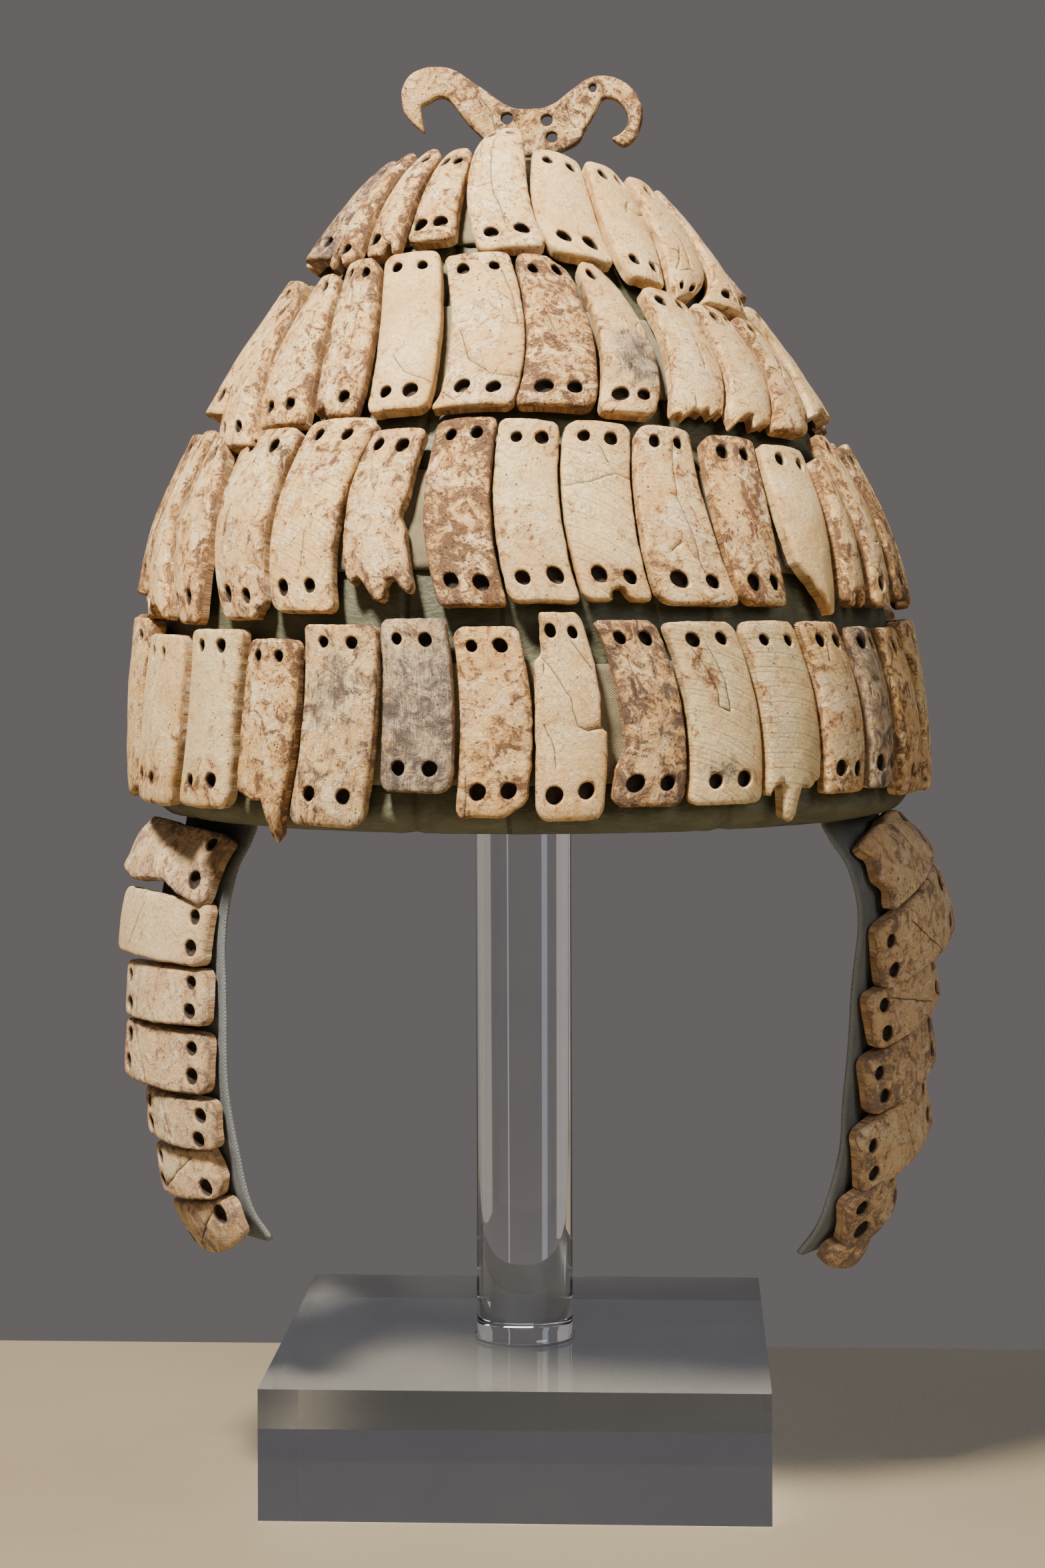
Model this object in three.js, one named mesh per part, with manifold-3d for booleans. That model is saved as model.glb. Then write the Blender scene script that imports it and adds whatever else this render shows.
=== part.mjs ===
// A boar tusk helmet on its clear acrylic stand, in millimetres, +Z up, the front facing -Y.
// The origin is on the floor, on the axis of the stand's rod, which is also the helmet's axis.
// A leather cap carries four rows of drilled tusk plates on backing bands, a carved crest on its crown,
// and two cheek straps with plates of their own. A block, a rod and a cradle inside the crown hold it up.
// Bearings are degrees about the axis: 0 is the front, positive towards +X.
import * as THREE from "three";
import { mergeVertices } from "three/addons/utils/BufferGeometryUtils.js";
import Module from "manifold-3d";

const wasm = await Module();
wasm.setup();

// Driving dimensions of the stand.
const BASE_WIDTH = 150;
const BASE_DEPTH = 150;
const BASE_HEIGHT = 38.5;
const BASE_SETBACK = 6.5; // how far the block's centre lies behind the rod's axis
const ROD_DIAMETER = 30;
const CRADLE_RADIUS = 46;
const CRADLE_THICKNESS = 12; // under the crown, on the axis

// Driving dimensions of the helmet.
const RIM_HEIGHT = 205; // of the cap's lower edge above the floor
const CAP_HEIGHT = 201;
const CAP_RADIUS = 115.5; // of the leather's outer face, just above the rim
const CAP_WALL = 3;
const BAND_THICKNESS = 1.5;
const PLATE_THICKNESS = 3.6;
const PLATE_BULGE = 1.3; // how much thicker a plate is at its middle than at its edges
const PLATE_GAP = 1.2; // between two plates of a row, or of a cheek strap
const GROOVE_WIDTH = 3; // between two back plates, from flank to flank
const HOLE_DIAMETER = 4.6;
const HOLE_FROM_END = 6.5;
const HOLE_PITCH = 9; // between the two holes at one end of a plate
const RIM_OFFSET = 2.5; // of the rim's centre from the rod's axis, towards +X
const CROWN_OFFSET = 4.5; // of the crown from the rod's axis, towards -X

// Driving dimensions of the cheek straps.
const STRAP_WIDTH = 38; // at its top
const STRAP_TIP_WIDTH = 30;
const STRAP_THICKNESS = 2.2;
const STRAP_TUCK = 22; // length of strap inside the cap
const STRAP_CURL = 30; // the length in which a strap's path states how far it swings in
const STRAP_LIP = 2; // of bare strap beyond the plates' inner ends
const CHEEK_PLATE_BULGE = 4; // of a cheek plate's middle beyond its two ends
const CHEEK_START = 7; // bare strap between the rim and the first plate

// Driving dimensions of the crest.
const CREST_SPAN = 75;
const CREST_HEIGHT = 28.5; // from the foot to the top of the higher horn
const CREST_THICKNESS = 6;
const CREST_FOOT = 14;
const CREST_HOLE_DIAMETER = 3.8;

const GAP = 0.35; // between pieces that touch
const CAP_SEGMENTS = 32;
const ROD_SEGMENTS = 24;
const HOLE_SEGMENTS = 6;
const DRILL_TOLERANCE = 0.02; // below this, corners left by drilling are merged
const ROW_STOPS = [0, 0.35, 0.68, 1]; // where a plate or band bends on its way up

// The cap's outer profile: up is a share of the cap's height, out a share of its radius.
const CAP_SECTIONS = [
  { up: 0, out: 0.978 },
  { up: 0.035, out: 1 },
  { up: 0.15, out: 0.996 },
  { up: 0.25, out: 0.977 },
  { up: 0.33, out: 0.958 },
  { up: 0.42, out: 0.915 },
  { up: 0.5, out: 0.85 },
  { up: 0.58, out: 0.772 },
  { up: 0.66, out: 0.686 },
  { up: 0.74, out: 0.588 },
  { up: 0.82, out: 0.486 },
  { up: 0.885, out: 0.4 },
  { up: 0.935, out: 0.32 },
  { up: 0.968, out: 0.236 },
  { up: 0.992, out: 0.113 },
  { up: 1, out: 0 },
];

// Each row of tusk plates. foot and top are its ends, as shares of the way up the cap's profile.
// footDip and topDip are the shares of the row's length by which those ends sink on the helmet's right.
// bandFoot and bandTop are the ends of the row's backing band, as shares of the way up the row, and
// backPlates counts the plates behind, which are fused to that band.
// An edge is the line between two front plates: at is its bearing halfway up, and top and foot the
// degrees that it swings at its ends. A plate's rise and drop lengthen it at its ends, as shares of the
// row's length.
const ROWS = [
  {
    name: "row_1",
    foot: 0.706,
    top: 0.869,
    footDip: 0.38,
    topDip: 0.3,
    bandFoot: 0.25,
    bandTop: 0.8,
    backPlates: 13,
    edges: [
      { at: -50, top: -3, foot: 5 },
      { at: -35.5, top: -1, foot: 6 },
      { at: -18, top: 1, foot: 6 },
      { at: 5.4, top: 3, foot: 4.5 },
      { at: 27.4, top: 3, foot: 1 },
      { at: 46, top: 4, foot: -3 },
      { at: 64, top: 2.5, foot: -6 },
    ],
    plates: [
      { rise: 0.04, drop: -0.08, holes: "foot" },
      { rise: 0.02, drop: -0.1, holes: "foot" },
      { rise: 0.34, drop: 0, holes: "foot" },
      { rise: 0.04, drop: 0, holes: "both" },
      { rise: 0.02, drop: 0.08, holes: "foot" },
      { rise: 0, drop: 0.14, holes: "foot" },
    ],
  },
  {
    name: "row_2",
    foot: 0.477,
    top: 0.691,
    footDip: 0.05,
    topDip: 0.3,
    bandFoot: 0.2,
    bandTop: 0.74,
    backPlates: 17,
    edges: [
      { at: -60, top: -6, foot: 6 },
      { at: -42.5, top: -5, foot: 4.5 },
      { at: -28.7, top: -6, foot: 2 },
      { at: -13, top: -4, foot: 0 },
      { at: 3.4, top: -2.5, foot: -2.5 },
      { at: 18.2, top: -3.3, foot: -2.2 },
      { at: 32, top: -4, foot: -2.5 },
      { at: 47.1, top: -4.3, foot: -5 },
      { at: 61, top: -3, foot: -4 },
    ],
    plates: [
      { rise: -0.04, drop: 0.04, holes: "both" },
      { rise: 0, drop: 0.02, holes: "both" },
      { rise: 0.03, drop: 0, holes: "both" },
      { rise: 0.01, drop: -0.02, holes: "both" },
      { rise: 0, drop: -0.02, holes: "both" },
      { rise: -0.03, drop: 0, holes: "both" },
      { rise: -0.14, drop: 0.03, holes: "top" },
      { rise: -0.17, drop: 0.04, holes: "top" },
    ],
  },
  {
    name: "row_3",
    foot: 0.25,
    top: 0.456,
    footDip: 0.04,
    topDip: 0.06,
    bandFoot: 0.24,
    bandTop: 0.8,
    backPlates: 20,
    edges: [
      { at: -50.3, top: -3, foot: 5.4 },
      { at: -37.4, top: 0, foot: 2.2 },
      { at: -24.5, top: 1.6, foot: 1.8 },
      { at: -13, top: 0.8, foot: 3 },
      { at: -1.7, top: 0.4, foot: 2.6 },
      { at: 8.6, top: 0.9, foot: 2.6 },
      { at: 19.6, top: 2.6, foot: 2.1 },
      { at: 32, top: 2.2, foot: 3.2 },
      { at: 43.7, top: 3.6, foot: 1 },
      { at: 56.6, top: 4, foot: -3 },
      { at: 65, top: -1.6, foot: -0.8 },
    ],
    plates: [
      { rise: 0.02, drop: 0.03, holes: "both" },
      { rise: 0.06, drop: -0.02, holes: "both" },
      { rise: 0, drop: -0.08, holes: "top" },
      { rise: 0.05, drop: -0.02, holes: "both" },
      { rise: 0.03, drop: -0.01, holes: "both" },
      { rise: 0.02, drop: -0.02, holes: "both" },
      { rise: 0, drop: 0, holes: "both" },
      { rise: -0.04, drop: 0, holes: "both" },
      { rise: -0.08, drop: 0.02, holes: "top" },
      { rise: -0.14, drop: 0, holes: "foot" },
    ],
  },
  {
    name: "row_4",
    foot: 0.02,
    top: 0.232,
    footDip: 0,
    topDip: 0,
    bandFoot: 0.2,
    bandTop: 0.78,
    backPlates: 21,
    edges: [
      { at: -51.2, top: -1.7, foot: -2.4 },
      { at: -39, top: 0.3, foot: -1.1 },
      { at: -28.3, top: -1.1, foot: -2.1 },
      { at: -16.6, top: -0.8, foot: -1 },
      { at: -6, top: -1.5, foot: -0.8 },
      { at: 4, top: -1.2, foot: -0.5 },
      { at: 14.4, top: -2.9, foot: -1.3 },
      { at: 24.8, top: -3.5, foot: -0.7 },
      { at: 36.3, top: -2.9, foot: -0.3 },
      { at: 47.2, top: -3.2, foot: -0.8 },
      { at: 57.8, top: -4.1, foot: -1.7 },
    ],
    plates: [
      { rise: -0.04, drop: 0, holes: "both" },
      { rise: -0.09, drop: 0.05, holes: "top" },
      { rise: -0.01, drop: 0.05, holes: "both" },
      { rise: 0.03, drop: -0.1, holes: "both" },
      { rise: -0.02, drop: 0, holes: "both" },
      { rise: 0.05, drop: 0.02, holes: "foot" },
      { rise: 0.02, drop: -0.04, holes: "both" },
      { rise: 0.01, drop: -0.04, holes: "both" },
      { rise: 0, drop: -0.05, holes: "top" },
      { rise: -0.01, drop: -0.05, holes: "both" },
    ],
  },
];

// The cheek straps: bearing is where a strap leaves the cap, facing the bearing that it faces, and drop
// how far its tip hangs below the cap's rim. plates gives each plate's share of the plated length, from
// the rim down, and its length across the strap. sections is the strap's path below the rim: down is a
// share of the drop, and in a share of the curl, negative where the strap bows out.
const STRAPS = [
  {
    name: "left",
    bearing: -64,
    facing: -48,
    drop: 125,
    plates: [
      { share: 1.1, length: 46 },
      { share: 1.08, length: 46 },
      { share: 1, length: 43 },
      { share: 1.04, length: 44 },
      { share: 0.86, length: 36 },
      { share: 0.86, length: 34 },
      { share: 0.78, length: 34 },
    ],
    sections: [
      { down: 0, in: 0 },
      { down: 0.06, in: -0.07 },
      { down: 0.13, in: -0.23 },
      { down: 0.24, in: -0.34 },
      { down: 0.38, in: -0.37 },
      { down: 0.52, in: -0.37 },
      { down: 0.65, in: -0.36 },
      { down: 0.78, in: -0.28 },
      { down: 0.92, in: -0.15 },
      { down: 1, in: 0.05 },
    ],
  },
  {
    name: "right",
    bearing: 72,
    facing: 60,
    drop: 131,
    plates: [
      { share: 1.05, length: 40 },
      { share: 1.15, length: 47 },
      { share: 1, length: 43 },
      { share: 1.05, length: 43 },
      { share: 1.15, length: 44 },
      { share: 0.95, length: 32 },
      { share: 0.55, length: 28 },
    ],
    sections: [
      { down: 0, in: 0 },
      { down: 0.06, in: -0.09 },
      { down: 0.13, in: -0.27 },
      { down: 0.24, in: -0.34 },
      { down: 0.38, in: -0.24 },
      { down: 0.52, in: -0.17 },
      { down: 0.65, in: -0.09 },
      { down: 0.78, in: -0.01 },
      { down: 0.92, in: 0.2 },
      { down: 1, in: 0.45 },
    ],
  },
];

// The crest's two horns: across and up place a point of the horn's middle line, as shares of half the
// crest's span and of its height, and half is half the horn's width there, as a share of the height.
const CREST_HORNS = {
  left: [
    { across: 0.188, up: 0.335, half: 0.24 },
    { across: 0.377, up: 0.543, half: 0.2 },
    { across: 0.502, up: 0.7, half: 0.178 },
    { across: 0.631, up: 0.81, half: 0.168 },
    { across: 0.79, up: 0.8, half: 0.185 },
    { across: 0.9, up: 0.71, half: 0.17 },
    { across: 0.92, up: 0.54, half: 0.124 },
    { across: 0.88, up: 0.41, half: 0.08 },
    { across: 0.83, up: 0.3, half: 0.03 },
  ],
  right: [
    { across: 0.196, up: 0.29, half: 0.25 },
    { across: 0.397, up: 0.41, half: 0.25 },
    { across: 0.51, up: 0.57, half: 0.215 },
    { across: 0.6, up: 0.7, half: 0.17 },
    { across: 0.7, up: 0.75, half: 0.135 },
    { across: 0.81, up: 0.72, half: 0.115 },
    { across: 0.9, up: 0.58, half: 0.1 },
    { across: 0.93, up: 0.41, half: 0.085 },
    { across: 0.9, up: 0.26, half: 0.08 },
    { across: 0.825, up: 0.165, half: 0.07 },
    { across: 0.76, up: 0.18, half: 0.03 },
  ],
};

// The crest's drilled holes, placed the same way; across is negative on the left.
const CREST_HOLES = [
  { across: -0.126, up: 0.42, size: 1 },
  { across: 0.204, up: 0.39, size: 1 },
  { across: 0.246, up: 0.2, size: 0.95 },
  { across: 0.589, up: 0.74, size: 0.7 },
];

const IVORY = new THREE.MeshStandardMaterial({ color: 0xcdb894, roughness: 0.45, metalness: 0 });
const LEATHER = new THREE.MeshStandardMaterial({ color: 0x7a765c, roughness: 0.7, metalness: 0 });
const BACKING = new THREE.MeshStandardMaterial({ color: 0x9c9070, roughness: 0.9, metalness: 0 });
const FELT = new THREE.MeshStandardMaterial({ color: 0x5d6160, roughness: 0.95, metalness: 0 });
const ACRYLIC = new THREE.MeshStandardMaterial({
  color: 0xdfe4ea,
  roughness: 0.05,
  metalness: 0,
  transparent: true,
  opacity: 0.35,
});

const lerp = THREE.MathUtils.lerp;
const RADIANS = Math.PI / 180;

// Directions about the axis, out from it and round it, at a bearing in degrees.
const outwards = (bearing) => new THREE.Vector3(Math.sin(bearing * RADIANS), -Math.cos(bearing * RADIANS), 0);
const sideways = (bearing) => new THREE.Vector3(Math.cos(bearing * RADIANS), Math.sin(bearing * RADIANS), 0);

// The point at a bearing, a radius and a height.
const around = (bearing, radius, height) => outwards(bearing).multiplyScalar(radius).setZ(height);

// How far out a chord's ends must stand for its middle to stay on the circle.
const chordEase = (degrees) => 1 / Math.cos((degrees / 2) * RADIANS);

// A profile: a polyline in (r, z) with the share of its length and the outward normal at each point.
function makeProfile(points) {
  const lengths = [0];
  for (let i = 1; i < points.length; i++) lengths.push(lengths[i - 1] + points[i].distanceTo(points[i - 1]));
  const length = lengths[lengths.length - 1];
  const normals = points.map((_, i) => {
    const before = points[Math.max(i - 1, 0)];
    const after = points[Math.min(i + 1, points.length - 1)];
    const along = after.clone().sub(before).normalize();
    return new THREE.Vector2(along.y, -along.x);
  });
  return { points, normals, length, shares: lengths.map((at) => at / length) };
}

// The point a share of the way along a profile, moved out along its normal by offset.
function onProfile({ points, normals, shares }, share, offset = 0) {
  let i = 1;
  while (i < shares.length - 1 && shares[i] < share) i++;
  const t = (share - shares[i - 1]) / (shares[i] - shares[i - 1]);
  const normal = normals[i - 1].clone().lerp(normals[i], t).normalize();
  return points[i - 1].clone().lerp(points[i], t).addScaledVector(normal, offset);
}

// How far a profile stands out beyond straight lines drawn between its points at the given shares.
function standOut(profile, stops) {
  let most = 0;
  for (let i = 1; i < stops.length; i++) {
    const from = onProfile(profile, stops[i - 1]);
    const along = onProfile(profile, stops[i]).sub(from).normalize();
    const out = new THREE.Vector2(along.y, -along.x);
    profile.points.forEach((point, k) => {
      const between = profile.shares[k] > stops[i - 1] && profile.shares[k] < stops[i];
      if (between) most = Math.max(most, point.clone().sub(from).dot(out));
    });
  }
  return most;
}

// A closed mesh from faces that list points by index, anticlockwise as seen from outside.
function meshOf(points, faces) {
  const geometry = new THREE.BufferGeometry().setFromPoints(points);
  const fan = ([first, ...rest]) => rest.slice(1).flatMap((_, i) => [first, rest[i], rest[i + 1]]);
  geometry.setIndex(faces.flatMap(fan));
  geometry.computeVertexNormals();
  return geometry;
}

// A slab between an outer and an inner grid of points. at(across, up, outside) gives a point; across runs
// from 0 to 1 to the right as seen from outside, and up takes the given stops.
function slab(columns, stops, at) {
  const rows = stops.length;
  const points = [];
  for (const outside of [true, false])
    for (const up of stops)
      for (let column = 0; column < columns; column++) points.push(at(column / (columns - 1), up, outside));
  const index = ([column, row], outside) => (outside ? 0 : columns * rows) + row * columns + column;
  const faces = [];
  for (let row = 0; row + 1 < rows; row++)
    for (let column = 0; column + 1 < columns; column++) {
      const corners = [
        [column, row],
        [column + 1, row],
        [column + 1, row + 1],
        [column, row + 1],
      ];
      faces.push(corners.map((corner) => index(corner, true)));
      faces.push(corners.reverse().map((corner) => index(corner, false)));
    }
  const rim = [];
  for (let column = 0; column + 1 < columns; column++) rim.push([column, 0]);
  for (let row = 0; row + 1 < rows; row++) rim.push([columns - 1, row]);
  for (let column = columns - 1; column > 0; column--) rim.push([column, rows - 1]);
  for (let row = rows - 1; row > 0; row--) rim.push([0, row]);
  rim.forEach((here, i) => {
    const next = rim[(i + 1) % rim.length];
    faces.push([index(here, false), index(next, false), index(next, true), index(here, true)]);
  });
  return meshOf(points, faces);
}

function toManifold(geometry) {
  const bare = new THREE.BufferGeometry().setAttribute("position", geometry.getAttribute("position"));
  bare.setIndex(geometry.getIndex());
  const merged = mergeVertices(bare, 1e-4);
  return new wasm.Manifold(
    new wasm.Mesh({
      numProp: 3,
      vertProperties: merged.attributes.position.array,
      triVerts: new Uint32Array(merged.index.array),
    }),
  );
}

function fromManifold(solid) {
  const made = solid.getMesh();
  const geometry = new THREE.BufferGeometry();
  geometry.setAttribute("position", new THREE.BufferAttribute(Float32Array.from(made.vertProperties), 3));
  geometry.setIndex(new THREE.BufferAttribute(Uint32Array.from(made.triVerts), 1));
  geometry.computeVertexNormals();
  return geometry;
}

// Cuts a round hole along the line from each inner point to its outer point.
function drill(geometry, holes, diameter) {
  const cut = holes.reduce((solid, { inner, outer }) => {
    const along = outer.clone().sub(inner);
    const bit = new THREE.CylinderGeometry(diameter / 2, diameter / 2, along.length() * 3, HOLE_SEGMENTS);
    const turn = new THREE.Quaternion().setFromUnitVectors(new THREE.Vector3(0, 1, 0), along.normalize());
    bit.applyQuaternion(turn);
    const middle = inner.clone().lerp(outer, 0.5);
    return solid.subtract(toManifold(bit.translate(middle.x, middle.y, middle.z)));
  }, toManifold(geometry));
  return fromManifold(cut.asOriginal().simplify(DRILL_TOLERANCE));
}

// The soft cap has slumped to one side: each level of the helmet is shifted sideways and stays level.
const object = new THREE.Group();
const leaning = new THREE.Group();
object.add(leaning);
const crownHeight = RIM_HEIGHT + CAP_HEIGHT;
const slant = -(RIM_OFFSET + CROWN_OFFSET) / CAP_HEIGHT;
leaning.matrixAutoUpdate = false;
leaning.matrix.makeShear(0, 0, 0, 0, slant, 0).setPosition(RIM_OFFSET - slant * RIM_HEIGHT, 0, 0);

function addMesh(parent, name, geometry, material) {
  const mesh = new THREE.Mesh(geometry, material);
  mesh.name = name;
  parent.add(mesh);
}

const capProfile = makeProfile(
  CAP_SECTIONS.map(({ up, out }) => new THREE.Vector2(out * CAP_RADIUS, RIM_HEIGHT + up * CAP_HEIGHT)),
);

// The inside of the cap's wall, from just inside the rim to the axis.
const capInside = capProfile.points
  .map((_, i) => onProfile(capProfile, capProfile.shares[i], -CAP_WALL))
  .filter((point, i) => i % 2 === 0 && point.x > CAP_WALL);
capInside.push(new THREE.Vector2(0, crownHeight - CAP_WALL));

// A point of a row of plates: t runs from the row's foot to its top.
function rowPoint(row, t, bearing, offset, ease) {
  const length = row.top - row.foot;
  const sunk = Math.max(0, Math.sin(bearing * RADIANS)) ** 2 * lerp(row.footDip, row.topDip, t);
  const point = onProfile(capProfile, row.foot + (t - sunk) * length, offset);
  return around(bearing, point.x * ease, point.y);
}

// How far the leather stands out beyond straight lines between stops on the way up a row.
function rowStandOut(row, stops) {
  return standOut(capProfile, stops.map((t) => lerp(row.foot, row.top, t)));
}

// The bearing of the line between two plates, at t of the way up the row.
function edgeBearing(edge, t) {
  const s = 2 * t - 1;
  return edge.at + ((edge.top - edge.foot) / 2) * s + ((edge.top + edge.foot) / 2) * s * s;
}

// The leather cap: its inside and outside turned about the axis.
function addCap() {
  const cap = new THREE.LatheGeometry([...[...capInside].reverse(), ...capProfile.points], CAP_SEGMENTS);
  addMesh(leaning, "leather_cap", cap.rotateX(Math.PI / 2), LEATHER);
}

// The bearings at which a row's band bends behind its front plates. The outer two clear those plates' swing.
function bandBearings({ edges }) {
  const bearings = edges.map((edge) => edge.at);
  const first = edges[0];
  const last = edges[edges.length - 1];
  bearings[0] += Math.min(0, first.top, first.foot);
  bearings[edges.length - 1] += Math.max(0, last.top, last.foot);
  return bearings;
}

// A row's offsets from the leather, with the ease that keeps its flat facets from cutting into the leather.
function rowOffsets(row) {
  const bearings = bandBearings(row);
  const behind = 360 + bearings[0] - bearings[bearings.length - 1];
  const widths = bearings.slice(1).map((bearing, i) => bearing - bearings[i]);
  const bandEase = chordEase(Math.max(behind / row.backPlates, ...widths));
  const bandInner = GAP + rowStandOut(row, ROW_STOPS);
  const plateInner = bandInner + BAND_THICKNESS + 2 * GAP; // both pieces bend a little differently
  return { bandEase, bandInner, plateInner, plateOuter: plateInner + PLATE_THICKNESS };
}

// One front plate of a row, between the edges to its left and right.
function plateGeometry(row, plate, left, right) {
  const { bandEase, plateInner, plateOuter } = rowOffsets(row);
  const stops = ROW_STOPS.map((t) => lerp(-plate.drop, 1 + plate.rise, t));
  const lift = Math.max(0, rowStandOut(row, stops) - rowStandOut(row, ROW_STOPS));
  const ease = bandEase * chordEase((right.at - left.at) / 2);
  const at = (across, t, outside) => {
    const crown = outside ? PLATE_BULGE * (1 - (2 * across - 1) ** 2) : 0;
    const offset = (outside ? plateOuter : plateInner) + lift + crown;
    const middle = (edgeBearing(left, t) + edgeBearing(right, t)) / 2;
    const radius = Math.hypot(...rowPoint(row, t, middle, offset, ease).toArray().slice(0, 2));
    const inset = PLATE_GAP / 2 / radius / RADIANS;
    const bearing = lerp(edgeBearing(left, t) + inset, edgeBearing(right, t) - inset, across);
    return rowPoint(row, t, bearing, offset, ease);
  };
  const reach = (stops[stops.length - 1] - stops[0]) * (row.top - row.foot) * capProfile.length;
  const ends = { foot: [HOLE_FROM_END / reach], top: [1 - HOLE_FROM_END / reach] };
  ends.both = [...ends.foot, ...ends.top];
  const holes = ends[plate.holes].flatMap((share) => {
    const t = lerp(stops[0], stops[stops.length - 1], share);
    const side = Math.min(HOLE_PITCH / 2 / at(0, t, true).distanceTo(at(1, t, true)), 0.25);
    const places = [0.5 - side, 0.5 + side];
    return places.map((across) => ({ inner: at(across, t, false), outer: at(across, t, true) }));
  });
  return drill(slab(3, stops, at), holes, HOLE_DIAMETER);
}

// A row's backing band, a ring that also holds the row's back plates, which stand out between grooves.
function bandGeometry(row) {
  const { bandEase, bandInner, plateOuter } = rowOffsets(row);
  const bearings = bandBearings(row);
  const start = bearings[bearings.length - 1];
  const step = (360 + bearings[0] - start) / row.backPlates;
  const groove = GROOVE_WIDTH / 2 / onProfile(capProfile, (row.foot + row.top) / 2).x / RADIANS;
  const band = { foot: row.bandFoot, top: row.bandTop, outer: bandInner + BAND_THICKNESS };
  const between = { foot: 0, top: 1, outer: bandInner + BAND_THICKNESS };
  const raised = { foot: 0, top: 1, outer: plateOuter + PLATE_BULGE };
  const columns = bearings.map((bearing) => ({ ...band, bearing }));
  for (let i = 0; i < row.backPlates; i++) {
    if (i > 0) columns.push({ ...between, bearing: start + i * step });
    columns.push({ ...raised, bearing: start + i * step + groove });
    columns.push({ ...raised, bearing: start + (i + 1) * step - groove });
  }
  const points = columns.flatMap(({ foot, top, outer, bearing }) => [
    ...ROW_STOPS.map((t) => rowPoint(row, lerp(foot, top, t), bearing, bandInner, bandEase)),
    ...ROW_STOPS.map((t) => rowPoint(row, lerp(top, foot, t), bearing, outer, bandEase)),
  ]);
  const ring = 2 * ROW_STOPS.length;
  const faces = columns.flatMap((_, i) => {
    const here = i * ring;
    const next = ((i + 1) % columns.length) * ring;
    const corners = Array.from({ length: ring }, (_, k) => [k, (k + 1) % ring]);
    return corners.map(([k, after]) => [here + k, here + after, next + after, next + k]);
  });
  return meshOf(points, faces);
}

// One cheek strap: a flat strip tucked inside the cap, which narrows towards its tip, and the plates
// laid across it.
function addStrap({ name, bearing, facing, drop, plates, sections }) {
  const wall = onProfile(capProfile, 0, -CAP_WALL).x / chordEase(360 / CAP_SEGMENTS) - GAP;
  const turn = Math.abs(facing - bearing) * RADIANS;
  const half = STRAP_WIDTH / 2;
  const reach = Math.sqrt(wall ** 2 - (half * Math.cos(turn)) ** 2);
  const radius = reach - half * Math.sin(turn) - STRAP_THICKNESS;
  const hanging = sections.map((section) => {
    return new THREE.Vector2(radius - section.in * STRAP_CURL, RIM_HEIGHT - section.down * drop);
  });
  const path = makeProfile([...hanging.reverse(), new THREE.Vector2(radius, RIM_HEIGHT + STRAP_TUCK)]);
  const place = (share, offset, along) => {
    const onPath = onProfile(path, share);
    const normal = onProfile(path, share, 1).sub(onPath);
    return around(bearing, onPath.x, onPath.y + normal.y * offset)
      .addScaledVector(outwards(facing), normal.x * offset)
      .addScaledVector(sideways(facing), along);
  };
  const widthAt = (share) => lerp(STRAP_TIP_WIDTH, STRAP_WIDTH, share);
  const strip = slab(2, path.shares, (across, share, outside) => {
    return place(share, outside ? STRAP_THICKNESS : 0, (across - 0.5) * widthAt(share));
  });
  addMesh(leaning, `cheek_strap_${name}`, strip, FELT);

  const plated = path.length - STRAP_TUCK - CHEEK_START;
  const shareSum = plates.reduce((sum, { share }) => sum + share, 0);
  let down = STRAP_TUCK + CHEEK_START;
  plates.forEach(({ share, length }, i) => {
    const height = (plated * share) / shareSum;
    const stops = [1 - (down + height - PLATE_GAP) / path.length, 1 - down / path.length];
    const lift = standOut(path, stops) + GAP + STRAP_THICKNESS;
    const overhang = Math.sign(bearing) * ((length - widthAt(stops[0])) / 2 + STRAP_LIP);
    const plate = slab(5, stops, (across, at, outside) => {
      const along = across * 2 - 1;
      const offset = lift + CHEEK_PLATE_BULGE * (1 - along ** 2) + (outside ? PLATE_THICKNESS : 0);
      return place(at, offset, (along * length) / 2 + overhang);
    });
    addMesh(leaning, `cheek_plate_${name}_${i + 1}`, plate, IVORY);
    down += height;
  });
}

// A point of the crest's flat drawing, from its shares of half the span and of the height.
const crestPoint = (across, up) => new THREE.Vector2((across * CREST_SPAN) / 2, up * CREST_HEIGHT);

// One side of a horn's outline: its middle line moved by half its width, to the outside or the inside.
function hornSide(horn, sign, side) {
  const middle = horn.map(({ across, up }) => crestPoint(sign * across, up));
  return horn.map(({ half }, i) => {
    const before = middle[Math.max(i - 1, 0)];
    const after = middle[Math.min(i + 1, middle.length - 1)];
    const along = after.clone().sub(before).normalize();
    const normal = new THREE.Vector2(-along.y, along.x).multiplyScalar(sign * side);
    return middle[i].clone().addScaledVector(normal, half * CREST_HEIGHT);
  });
}

// The crest: two horns that meet over its foot, drawn flat and given a thickness, standing on the crown.
function addCrest() {
  const { left, right } = CREST_HORNS;
  const outline = new THREE.Shape([
    ...hornSide(left, -1, 1).reverse(),
    ...hornSide(right, 1, 1),
    ...hornSide(right, 1, -1).reverse(),
    new THREE.Vector2(CREST_FOOT / 2, 0),
    new THREE.Vector2(-CREST_FOOT / 2, 0),
    ...hornSide(left, -1, -1),
  ]);
  for (const { across, up, size } of CREST_HOLES) {
    const { x, y } = crestPoint(across, up);
    const circle = new THREE.Path().absarc(x, y, (size * CREST_HOLE_DIAMETER) / 2, 0, 2 * Math.PI);
    outline.holes.push(new THREE.Path(circle.getPoints(HOLE_SEGMENTS)));
  }
  const crest = new THREE.ExtrudeGeometry(outline, { depth: CREST_THICKNESS, bevelEnabled: false });
  crest.translate(0, 0, -CREST_THICKNESS / 2).rotateX(Math.PI / 2);
  crest.translate(0, 0, crownHeight + GAP);
  addMesh(object, "crest", crest, IVORY);
}

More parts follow.
